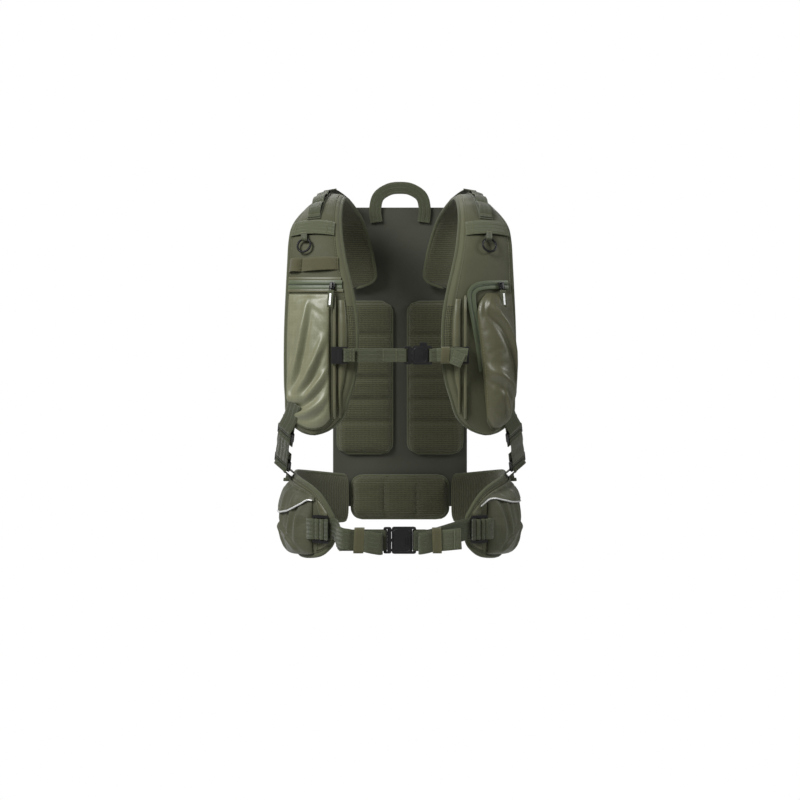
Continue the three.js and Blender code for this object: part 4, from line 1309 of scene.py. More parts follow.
    def zip_along(self, line: list[Station], width: float) -> None:
        """Lays a zip along stations."""
        pile = Pile()
        strip(pile, line, width, 0.0012, ZIP)
        edge = width * 0.24
        for way in (-1, 1):
            strip(pile, shifted(line, way * (edge + 0.0009), 0.0011), edge * 2 - 0.0003, 0.0011, ZIP,
                  belly=0.0004)
        coil = shifted(line, 0, 0.0008)
        rope(pile, [s.at for s in coil], 0.0011, COIL, sides=8, out=lambda p: nearest(coil, p).across)
        pile.build(self.name("Chest_zip"), "harness", [f"zip_tape_{self.key}"])
        thread = Pile()
        for way in (-1, 1):
            seam(thread, shifted(line, way * width * 0.46, 0.0006))
        thread.build(self.name("Chest_zip_seams"), "harness")

    def pull(self) -> None:
        """Zip pull: a wire eye and a folded webbing tab with a reflective stripe."""
        joint = f"zip_pull_swing_{self.key}"
        pin, axis = joint_point(joint), joint_axis(joint)
        points = np.array([tuple(v.co) for v in bpy.data.objects[f"zip_pull_{self.key}"].data.vertices])
        down = (Vector(tuple((points.max(0) + points.min(0)) / 2)) - pin).normalized()
        axis = (axis - down * axis.dot(down)).normalized()
        out = axis.cross(down).normalized()
        if out.y > 0:
            out = -out
        axis = down.cross(out)
        pile = Pile()
        eye_wide, eye_long = 0.0032, 0.0046
        eye = [pin + axis * (math.sin(a) * eye_wide) + down * ((1 - math.cos(a)) * eye_long)
               for a in (2 * math.pi * k / 24 for k in range(24))]
        rope(pile, eye, 0.00065, WIRE, sides=8, closed=True, out=lambda p: p - (pin + down * eye_long))
        leg = [(0.033, 0.0008), (0.02, 0.0010), (0.0105, 0.0010), (0.0083, 0.0006)]
        fold = [(d, -o) for d, o in leg] + [(0.0075, 0.0)] + leg[::-1]
        tab = [pin + down * d + out * o for d, o in fold]
        strip(pile, stations(flow(tab, 0.0012), axis), 0.0088, 0.0011, PULL)
        stripe = [pin + down * d + out * 0.0019 for d in (0.0125, 0.0195, 0.0265, 0.0300)]
        strip(pile, stations(flow(stripe, 0.002), axis), 0.0030, 0.0006, SILVER)
        end = pin + down * 0.0312 + out * 0.0017
        stitch(pile, [end - axis * 0.0036, end + axis * 0.0036], lambda p: out, length=0.0015, gap=0.0006)
        pile.build(self.name("Zip_pull"), f"pull_{self.key}_body", [f"zip_pull_{self.key}"])


def nearest(line: Sequence[Station], p: Vector) -> Station:
    """Station closest to a point."""
    return min(line, key=lambda s: (s.at - p).length_squared)


def joint_of(name: str) -> dict:
    """A joint of the frame by its name."""
    return next(j for j in FRAME["joints"] if j["name"] == name)


def joint_point(name: str) -> Vector:
    """A point on a joint's axis."""
    return Vector(joint_of(name)["pos_m"])


def joint_axis(name: str) -> Vector:
    """Direction of a joint's axis."""
    return Vector(joint_of(name)["axis"]).normalized()


@dataclass
class Fold:
    """A crease that runs from one place on a panel to another, as a ridge with a valley beside it."""

    start: tuple[float, float]
    end: tuple[float, float]
    width: float
    height: float
    bend: float = 0.0

    def lift(self, a: float, b: float) -> float:
        """Height of the fold at a place on the panel, a and b from 0 to 1."""
        ax, ay = self.start
        dx, dy = self.end[0] - ax, self.end[1] - ay
        span = dx * dx + dy * dy
        t = ((a - ax) * dx + (b - ay) * dy) / span
        if not -0.15 < t < 1.15:
            return 0.0
        bow = self.bend * math.sin(math.pi * min(max(t, 0), 1))
        side = ((a - ax) * dy - (b - ay) * dx) / math.sqrt(span) - bow
        fade = math.sin(math.pi * min(max((t + 0.15) / 1.3, 0), 1)) ** 0.8
        q = side / self.width
        return self.height * fade * (math.exp(-q * q * 3) - 0.55 * math.exp(-((q - 0.9) ** 2) * 4))


@dataclass
class SoftPanel:
    """A cloth pocket or flap sewn round its border onto a padded part.

    Places on it run from a = 0 at the low end to 1 at the top and from b = 0 to 1 across.
    """

    pad: Padding
    side: int
    place: Callable[[float, float], tuple[float, float]]
    dome: Callable[[float, float], float]
    folds: list[Fold]
    finish: Textile
    puff: float = 3.0
    rows: int = 84
    columns: int = 40
    rim: float = 0.0012
    base: Callable[[float, float], float] = lambda a, b: 0.0003
    rumple: float = 0.0016
    fill: float = 0.4
    cap: float = 0.006
    ease: int = 4

    def height(self, a: float, b: float) -> float:
        """Height of the cloth over the pad."""
        edge = min(a * 3.2, (1 - a) * 5, b * 2.4, (1 - b) * 3, 1.0)
        soft = max(0.0, math.sin(math.pi / 2 * min(1.0, edge * 2.2)))
        folds = sum(f.lift(a, b) for f in self.folds)
        return self.rim + self.base(a, b) + self.dome(a, b) + folds * soft

    def at(self, a: float, b: float, lift: float = 0.0) -> Vector:
        """A point on the cloth as it was sewn."""
        return self.pad.at(*self.place(a, b), self.height(a, b) + lift)

    def build(self, name: str, replaces: Sequence[str]) -> bpy.types.Object:
        """Builds the cloth and lets it settle.

        Args:
            name: Object name.
            replaces: Nodes of the frame that it stands for.

        Returns:
            The piece.
        """
        pad = self.pad
        top, low, flat = [], [], []
        for a in np.linspace(0, 1, self.rows):
            row, under, place = [], [], []
            for b in np.linspace(0, 1, self.columns):
                u, v = self.place(a, b)
                p = pad.at(u, v, self.height(a, b))
                rumple = noise.noise(p * 26) * 0.5 + noise.noise(p * 70) * 0.22
                edge = min(1.0, 8 * min(a, 1 - a, b, 1 - b))
                p += pad.normal(u, v) * rumple * self.rumple * edge
                row.append(tuple(p))
                under.append(tuple(pad.at(u, v, self.base(a, b))))
                place.append((p.z, u * pad.length if self.side == 0 else self.side * p.x))
            top.append(row)
            low.append(under)
            flat.append(place)
        pile = Pile()
        pile.slab(top, low, self.finish, uv=flat)
        obj = pile.build(name, "harness", replaces, sharp=70)
        settle(obj, sewn_border(self.rows, self.columns, 0, 0.9, 0.12, 0.3), self.puff, 0.012, self.cap)
        ease = obj.modifiers.new("ease", "SMOOTH")
        ease.factor, ease.iterations = 0.5, self.ease
        smooth = obj.modifiers.new("smooth", "SUBSURF")
        smooth.levels = smooth.render_levels = 1
        bake(obj)
        self.tree = tree_of(obj)
        return obj

    def on_cloth(self, a: float, b: float) -> Station:
        """A place on the settled cloth."""
        u, v = self.place(a, b)
        n = self.pad.normal(u, v)
        found = self.tree.ray_cast(self.pad.at(u, v, 0.05), -n, 0.08)[0]
        along = self.at(min(1, a + 0.01), b) - self.at(max(0, a - 0.01), b)
        return Station(found or self.at(a, b), along.cross(n).normalized(), n)

    def run(self, places: Sequence[tuple[float, float]], lift: float = 0.0) -> list[Station]:
        """Stations through places on the settled cloth."""
        spots = [self.on_cloth(a, b) for a, b in places]
        return faced([s.at + s.out * lift for s in spots], [s.out for s in spots])


def bake(obj: bpy.types.Object) -> None:
    """Applies an object's modifiers to its mesh."""
    dg = bpy.context.evaluated_depsgraph_get()
    mesh = bpy.data.meshes.new_from_object(obj.evaluated_get(dg), preserve_all_data_layers=True, depsgraph=dg)
    obj.modifiers.clear()
    obj.data = mesh


@dataclass
class RightStrap(Strap):
    """The strap on the wearer's right: flat zipped panel, elastic keeper, straight zip."""

    def build(self) -> None:
        super().build()
        self.elastic()
        self.panel()
        self.gusset()

    def elastic(self) -> None:
        """Elastic across the strap, tacked down so it makes two loops."""
        lo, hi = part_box(f"elastic_band_{self.key}")
        z = (lo.z + hi.z) / 2
        pad = self.pad
        tacks = (0.03, 0.30, 0.97)

        def rise(t: float) -> float:
            a, b = (tacks[0], tacks[1]) if t < tacks[1] else (tacks[1], tacks[2])
            local = min(1.0, max(0.0, (t - a) / (b - a)))
            return 0.001 + (0.0062 if t < tacks[1] else 0.0045) * math.sin(math.pi * local) ** 0.75

        vs = np.linspace(0.985, 0.125, 14)
        slope = lambda v: z + 0.004 * (0.6 - v) - 0.0015
        line = lay(pad, [(pad.u_at(slope(v), v), v) for v in vs], rise, 0.0016)
        pile = Pile()
        strip(pile, line, 0.0205, 0.0013, ELASTIC)
        pile.build(self.name("Elastic_keeper"), "harness", [f"elastic_band_{self.key}"])
        spots = [line[int(t * (len(line) - 1))] for t in tacks]
        sew_tacks(self.name("Elastic_tacks"), "harness", shifted(spots, 0, TACK_LIFT), 0.017, ELASTIC)

    def zip(self) -> None:
        z = joint_point(f"zip_pull_swing_{self.key}").z + 0.0006
        pad = self.pad
        line = lay(pad, [(pad.u_at(z, v), v) for v in np.linspace(0.13, 0.975, 10)], 0.0007)
        self.zip_along(line, 0.0125)
        pile = Pile()
        for dz in (0.0088, -0.0088):
            fold = lay(pad, [(pad.u_at(z + dz, v), v) for v in np.linspace(0.13, 0.98, 10)], 0.0009)
            strip(pile, fold, 0.0052, 0.0016, COATED_DARK, belly=0.0006)
        pile.build(self.name("Zip_welts"), "harness")

    def panel(self) -> None:
        """Flat coated pocket under the zip, pulled into folds by the strap's lower corner."""
        def dome(a: float, b: float) -> float:
            rise = (max(0.0, math.sin(math.pi * min(1, a * 1.02)))) ** 0.45
            return 0.0092 * rise * max(0.0, math.sin(math.pi * min(1.0, b * 0.96 + 0.04))) ** 0.5

        folds = [
            Fold((0.19, 0.99), (0.93, 0.50), 0.120, 0.0070, 0.06),
            Fold((0.19, 0.99), (0.66, 0.12), 0.095, 0.0080, 0.07),
            Fold((0.18, 0.97), (0.42, 0.04), 0.070, 0.0078, 0.05),
            Fold((0.10, 0.86), (0.22, 0.05), 0.070, 0.0056, 0.02),
            Fold((0.22, 1.00), (0.70, 0.80), 0.060, 0.0030, 0.02),
        ]
        place = self.panel_place(-0.3430, -0.1425, lambda a: 0.1035, 0.975)
        # The pocket cloth is the lighter copy of the coated nylon: painted light.
        panel = SoftPanel(self.pad, self.side, place, dome, folds, COATED_LIT)
        panel.build(self.name("Zip_pocket"), [f"zip_pocket_{self.key}"])
        self.edging(panel, "Zip_pocket")

    def gusset(self) -> None:
        """Narrow raised panel between the rail and the bound edge."""
        gusset_panel(self, 0.0915, 0.0235, -0.326, -0.152, COATED_DARK)


@dataclass
class LeftStrap(Strap):
    """The strap on the wearer's left: bulging bottle pocket behind a curved zip."""

    def build(self) -> None:
        super().build()
        self.bottle_pocket()
        gusset_panel(self, 0.0905, 0.018, -0.318, -0.150, COATED_DARK)

    def zip(self) -> None:
        pad = self.pad
        z = joint_point(f"zip_pull_swing_{self.key}").z + 0.0004
        route = []
        for height, x in ((z, 0.160), (z, 0.146), (z - 0.0006, 0.128), (z - 0.004, 0.113),
                          (z - 0.013, 0.1055),
                          (z - 0.030, 0.1065), (z - 0.060, 0.1125), (z - 0.095, 0.1185), (z - 0.128, 0.1225)):
            route.append(self.place(height, x))
        line = lay(pad, route, 0.0010)
        self.zip_along(line, 0.0122)

    def bottle_pocket(self) -> None:
        """Deep glossy pocket shaped round a bottle."""
        def seam_at(a: float) -> float:
            top = max(0.0, (a - 0.84) / 0.16)
            return 0.1285 - 0.0175 * a + 0.018 * top ** 2.2

        def dome(a: float, b: float) -> float:
            rise = max(0.0, math.sin(math.pi * min(1.0, a ** 0.8))) ** 0.55
            return 0.0235 * rise * max(0.0, math.sin(math.pi * min(1.0, 0.03 + b * 0.97))) ** 0.55

        folds = [
            Fold((0.20, 0.97), (0.93, 0.24), 0.105, 0.0092, -0.17),
            Fold((0.20, 0.97), (0.42, 0.08), 0.080, 0.0064, -0.05),
            Fold((0.06, 0.80), (0.30, 0.52), 0.065, 0.0050, 0.05),
            Fold((0.84, 0.20), (1.00, 0.22), 0.045, 0.0022, 0.0),
            Fold((0.86, 0.50), (1.00, 0.47), 0.045, 0.0018, 0.0),
        ]
        place = self.panel_place(-0.3430, -0.1405, seam_at, 0.985)
        # The pocket cloth is the darker copy of the coated nylon: painted shade.
        panel = SoftPanel(self.pad, self.side, place, dome, folds, COATED_SHADED, puff=4.0, rumple=0.0012,
                          cap=0.004,
                          ease=7)
        panel.build(self.name("Bottle_pocket"), [f"bottle_pocket_{self.key}"])
        self.edging(panel, "Bottle_pocket")


def gusset_panel(strap: Strap, x_outer: float, width: float, low_z: float, top_z: float,
                 finish: Textile) -> None:
    """Builds the raised strip of cloth between the rail and the pad's inner edge.

    Args:
        strap: The strap it lies on.
        x_outer: Distance of its outer edge from the middle plane.
        width: Its width.
        low_z: Height of its low end.
        top_z: Height of its top.
        finish: Its cloth.
    """
    pad = strap.pad
    pile = Pile()
    top, low = [], []
    rows, columns = 60, 12
    for a in np.linspace(0, 1, rows):
        z = low_z + (top_z - low_z) * a
        u = pad.u_at(z, 0.3)
        v1 = pad.v_at(u, x_outer)
        v0 = max(0.135, pad.v_at(u, x_outer - width))
        v0 = min(v0, v1 - 0.05)
        row, under = [], []
        for b in np.linspace(0, 1, columns):
            v = v0 + (v1 - v0) * b
            uu = pad.u_at(z, v)
            swell = math.sin(math.pi * b) ** 0.6 * math.sin(math.pi * min(1.0, a * 0.96 + 0.02)) ** 0.4
            p = pad.at(uu, v, 0.0008 + 0.0036 * swell)
            p += pad.normal(uu, v) * 0.0008 * noise.noise(p * 60) * swell
            row.append(tuple(p))
            under.append(tuple(pad.at(uu, v, 0.0002)))
        top.append(row)
        low.append(under)
    pile.slab(top, low, finish)
    obj = pile.build(strap.name("Inner_gusset"), "harness", sharp=60)


# --------------------------------------------------------------------------- chest strap
def round_bar(x: float, y: float, z: float, way: int, front: float, back: float,
              radius: float) -> list[Vector]:
    """Webbing round an upright bar: front run, half turn, back run.

    Args:
        x: Bar's place.
        y: Bar's depth.
        z: Bar's height.
        way: +1 where the webbing leaves toward +X, -1 toward -X.
        front: Length of the front run.
        back: Length of the back run.
        radius: Distance of the webbing's middle from the bar's.

    Returns:
        Points of the webbing's middle line.
    """
    points = [Vector((x + way * front, y - radius, z)), Vector((x + way * front * 0.5, y - radius, z))]
    points += [Vector((x - way * math.sin(math.pi * k / 8) * radius, y - math.cos(math.pi * k / 8) * radius,
                       z))
               for k in range(9)]
    points.append(Vector((x + way * back, y + radius, z)))
    return points


def keeper(pile: Pile, x: float, y: float, z: float, wide: float, high: float, deep: float, finish,
           lean: float = 0.0) -> None:
    """Adds an elastic keeper: a flat ring round a strap that runs along X."""
    rings = []
    count = 36
    half_z, half_y = high / 2, deep / 2
    corner = min(half_y, 0.0028)
    for k in range(count):
        a = 2 * math.pi * k / count
        cz, cy = math.cos(a), math.sin(a)
        z0 = (half_z - corner) * max(-1, min(1, cz * 1.6)) + corner * cz
        y0 = (half_y - corner) * max(-1, min(1, cy * 3.0)) + corner * cy
        mid = Vector((x + lean * z0, y + y0, z + z0))
        normal = Vector((0, cy / half_y, cz / half_z)).normalized()
        ring = []
        for across, level in ((-0.5, -0.5), (-0.5, 0.5), (-0.17, 0.62), (0.17, 0.62), (0.5, 0.5),
                              (0.5, -0.5)):
            ring.append(tuple(mid + Vector((across * wide, 0, 0)) + normal * level * 0.0012))
        rings.append(ring)
    pile.loft(rings, finish, loop=True)


def ridged_end(pile: Pile, at: Vector, along: Vector, across: Vector, out: Vector, wide: float,
               finish) -> None:
    """Adds the folded and bar-stitched end of a strap."""
    steps = 5
    for k in range(steps):
        start = at + along * (0.0021 * k)
        line = [start - across * (wide * 0.47), start + across * (wide * 0.47)]
        rope(pile, even(line, 0.003), 0.0011, finish, sides=8, out=lambda p: out)


@dataclass
class ChestStrap:
    """Sternum strap: two hooks on the rails, webbing, side-release buckle with a whistle."""

    wide: float = 0.020
    thick: float = WEB_THICK
    turn: float = BAR_TURN

    def build(self) -> None:
        """Builds the strap's soft pieces."""
        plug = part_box("sternum_plug")
        y = (plug[0].y + plug[1].y) / 2
        z = (plug[0].z + plug[1].z) / 2
        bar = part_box("sternum_socket")[1].x - BAR_INSET
        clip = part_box("sternum_hook_l")[0].x + 0.0017
        line = round_bar(bar, y, z, 1, 0.012, 0.006, self.turn)
        line += round_bar(clip, y, z, -1, 0.015, 0.006, self.turn)[::-1]
        sew_web("Sternum_web_l", "sternum_strap", line, UP, 0.0012, self.wide, WEB, ["sternum_web_l"])
        plug_bar = plug_bar_x("sternum_plug")
        line = round_bar(plug_bar, y, z, -1, 0.034, 0.031, self.turn)
        sew_web("Sternum_loop_r", "sternum_plug_half", line, UP, 0.0012, self.wide, WEB, ["sternum_loop_r"])
        front_y = y - self.turn - TACK_LIFT
        spots = [Station(Vector((plug_bar - d, front_y, z)), UP, FRONT) for d in (0.0125, 0.0315)]
        sew_tacks("Sternum_loop_tacks", "sternum_plug_half", spots, 0.016)
        right = -clip
        line = round_bar(right, y, z, 1, 0.013, 0.009, self.turn)
        line += [Vector((right + 0.015, y + 0.0012, z)), Vector((right + 0.021, y, z))]
        line += [Vector((right + 0.021 + t * (plug_bar - 0.026 - right - 0.021), y, z))
                 for t in np.linspace(0.1, 1, 9)]
        sew_web("Sternum_web_r", "sternum_strap", line, UP, 0.0012, self.wide, WEB, ["sternum_web_r"])
        spots = [Station(Vector((right + d, front_y, z)), UP, FRONT) for d in (0.0065, 0.0115)]
        sew_tacks("Sternum_hook_tacks", "sternum_strap", spots, 0.016)
        self.tail(bar, y, z)

    def tail(self, bar: float, y: float, z: float) -> None:
        """The loose end of the webbing, held by an elastic keeper and folded down at its tip."""
        pile = Pile()
        pts = [Vector((bar + 0.008, y - 0.0052, z + 0.0006)), Vector((bar + 0.016, y - 0.0056, z + 0.0008)),
               Vector((bar + 0.026, y - 0.0058, z + 0.0010)), Vector((bar + 0.036, y - 0.0075, z + 0.0016)),
               Vector((bar + 0.046, y - 0.0096, z + 0.0014)), Vector((bar + 0.053, y - 0.0100, z + 0.0004))]
        line = flow(pts, 0.002)
        across = lambda p: Vector((0.10 + 3.0 * max(0.0, p.x - bar - 0.030), 0, 1))
        strip(pile, stations(line, across), self.wide, self.thick, WEB_PALE)
        end = line[-1]
        lean = Vector((-0.45, 0, -1)).normalized()
        side = Vector((0.95, 0, -0.40)).normalized()
        start = end + Vector((-0.010, -0.0016, 0.004))
        down = [start, start + lean * 0.009 + FRONT * 0.0012, start + lean * 0.021 + FRONT * 0.0012]
        strip(pile, stations(flow(down, 0.0015), side), self.wide * 0.92, self.thick, WEB_PALE)
        ridged_end(pile, start + lean * 0.0115 + FRONT * 0.0022, lean, side, FRONT, self.wide * 0.92,
                   WEB_PALE)
        pile.build("Sternum_tail", "sternum_strap")
        band = Pile()
        keeper(band, bar + 0.0205, y - 0.0012, z, 0.0125, self.wide + 0.0036, 0.0118, ELASTIC, 0.04)
        band.build("Sternum_keeper", "sternum_strap")


def plug_bar_x(name: str) -> float:
    """Place of a plug's webbing bar, which is at its low-X end."""
    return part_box(name)[0].x + BAR_INSET


# --------------------------------------------------------------------------- hip belt
@dataclass
class Wing:
    """One hip wing: padded body, zipped pocket with a flap, and its bound edge."""

    key: str
    side: int
    mouth: tuple[tuple[float, float], ...]
    pad: Padding = field(init=False)

    def __post_init__(self) -> None:
        node = bpy.data.objects[f"hip_wing_{self.key}"]
        self.pad = read_wing(node, self.side)

    def name(self, stem: str) -> str:
        """Name of one of this wing's pieces."""
        return f"{stem}_{self.key}"

    def build(self) -> None:
        """Builds all of the wing's pieces."""
        self.body()
        self.pocket()
        self.front_panel()

    def body(self) -> None:
        """Foam wing in its covers with a tape-bound edge."""
        pad = self.pad
        vs = [0, 0.01, 0.03, 0.06, 0.1, 0.16, 0.24, 0.34, 0.45, 0.55, 0.66, 0.76, 0.84, 0.9, 0.94, 0.97,
              0.99, 1]
        relief = lambda p, v: 0.0007 * noise.noise(p * 28) + 0.0004 * noise.noise(p * 80)
        pile = Pile()
        pile.loft(cover(pad, np.linspace(0, 1, 110), vs, 0.12, 0.25, relief), SHELL,
                  face_finish=lambda i, k: MESH if k >= len(vs) - 1 else SHELL)
        obj = pile.build(self.name("Wing_pad"), "harness", [f"hip_wing_{self.key}"], sharp=60)
        bind_edge(self.name("Wing_binding"), pad, 90, 12, 0.35, np.linspace(0.06, 1, 50), 0.0028, 1.2)
        thread = Pile()
        for v in (0.05, 0.95):
            seam(thread, lay(pad, [(u, v) for u in np.linspace(0.04, 0.97, 20)], 0.0), lift=-0.0006)
        thread.build(self.name("Wing_seams"), "harness")

    def place_between(self, first: float, last: float, low: Callable[[float], float],
                      high: Callable[[float], float]) -> Callable[[float, float], tuple[float, float]]:
        """Places of a panel between two angles and two heights on the wing."""
        u0, u1 = self.pad.u_of(first), self.pad.u_of(last)

        def place(a: float, b: float) -> tuple[float, float]:
            return u0 + (u1 - u0) * b, low(b) + (high(b) - low(b)) * a

        return place

    def pocket(self) -> None:
        """Gathered pocket and the flap over its mouth, edged with reflective piping."""
        def dome(a: float, b: float) -> float:
            sag = max(0.0, math.sin(math.pi * min(1.0, a) ** 0.66)) ** 0.5
            return 0.0175 * sag * max(0.0, math.sin(math.pi * b)) ** 0.5

        folds = [Fold((0.98, 0.10 + 0.2 * k), (0.30, 0.20 + 0.16 * k), 0.060, 0.0042, 0.03 * (-1) ** k)
                 for k in range(4)]
        folds += [Fold((0.05, 0.45), (0.5, 0.9), 0.07, 0.0034, 0.04),
                  Fold((0.04, 0.2), (0.4, 0.55), 0.06, 0.003, 0.03)]
        place = self.place_between(57.0, 99.0, lambda b: 0.02, lambda b: 0.86)
        pocket = SoftPanel(self.pad, 0, place, dome, folds, SHELL_SOFT, puff=3.0, rows=56, columns=56,
                           rumple=0.0022)
        pocket.build(self.name("Hip_pocket"), [f"hip_pocket_{self.key}"])

        first, last = self.mouth[0][0], 99.5
        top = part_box(f"hip_pocket_{self.key}")[1].z

        def lower(b: float) -> float:
            degrees = first + (last - first) * b
            u = self.pad.u_of(degrees)
            z = top + np.interp(degrees, [d for d, _ in self.mouth], [z for _, z in self.mouth])
            edge, rim = self.pad.at(u, 0).z, self.pad.at(u, 1).z
            return min(0.86, max(0.1, float((z - edge) / (rim - edge))))

        flap_place = self.place_between(first, last, lower, lambda b: 0.93)

        def rest(a: float, b: float) -> float:
            u, v = flap_place(a, b)
            height = 0.0
            share = (v - 0.02) / 0.84
            across = (first + (last - first) * b - 57.0) / 42.0
            if 0 < share < 1 and 0 < across < 1:
                n = self.pad.normal(u, v)
                found = pocket.tree.ray_cast(self.pad.at(u, v, 0.05), -n, 0.08)[0]
                if found:
                    height = (found - self.pad.at(u, v)).length
            return height + 0.0007

        cells = {}

        def base(a: float, b: float) -> float:
            key = (round(a, 4), round(b, 4))
            if key not in cells:
                cells[key] = sum(rest(a, min(1.0, max(0.0, b + shift)))
                                 for shift in (-0.06, -0.03, 0, 0.03, 0.06)) / 5
            return cells[key]

        gather = [Fold((0.9, 0.25 + 0.22 * k), (0.1, 0.3 + 0.2 * k), 0.06, 0.0016, 0.02) for k in range(3)]
        flap = SoftPanel(self.pad, 0, flap_place, lambda a, b: 0.0022 * (1
                                                                         - a) * math.sin(math.pi * b) ** 0.4,
                         gather,
                         SHELL_SOFT, puff=0.5, rows=30, columns=48, rim=0.0022, base=base, rumple=0.0012,
                         fill=0.2,
                         cap=0.0015)
        flap.build(self.name("Hip_flap"), [f"hip_flap_{self.key}"])
        edge = [flap.at(0.0, b, -0.0006) for b in np.linspace(0.03, 0.97, 30)]
        trim = Pile()
        rope(trim, flow(edge[::2] + [edge[-1]], 0.003), 0.0013, SILVER, sides=8,
             out=lambda p: self.pad.normal(0.4, 0.5))
        trim.build(self.name("Hip_flap_reflective"), "harness")
        thread = Pile()
        seam(thread, flap.run([(0.14, b) for b in np.linspace(0.04, 0.96, 30)]), lift=0.0002)
        seam(thread, flap.run([(0.9, b) for b in np.linspace(0.04, 0.96, 30)]), lift=0.0002)
        thread.build(self.name("Hip_flap_stitches"), "harness")

    def front_panel(self) -> None:
        """Smooth panel ahead of the pocket with a piped seam behind it."""
        pad = self.pad
        seam_deg = lambda v: 55.0 - 5.5 * math.sin(math.pi * min(1, max(0, v))) ** 1.5
        first = pad.keys[0] + 2.2

        def place(a: float, b: float) -> tuple[float, float]:
            v = 0.07 + 0.86 * a
            u0, u1 = pad.u_of(first), pad.u_of(seam_deg(v))
            return u0 + (u1 - u0) * b, v

        dome = lambda a, b: 0.0026 * math.sin(math.pi * a) ** 0.5 * math.sin(math.pi * b) ** 0.5
        panel = SoftPanel(pad, 0, place, dome, [], COATED_DARK, puff=1.0, rows=44, columns=24, rim=0.0006,
                          rumple=0.0008, fill=0.3, cap=0.002)
        panel.build(self.name("Wing_front_panel"), [])
        line = [pad.at(pad.u_of(seam_deg(v)), v, 0.0010) for v in np.linspace(0.06, 0.94, 26)]
        pile = Pile()
        rope(pile, flow(line[::2] + [line[-1]], 0.003), 0.0014, TAPE, sides=8,
             out=lambda p: pad.normal(0.2, 0.5))
        pile.build(self.name("Wing_seam_piping"), "harness")


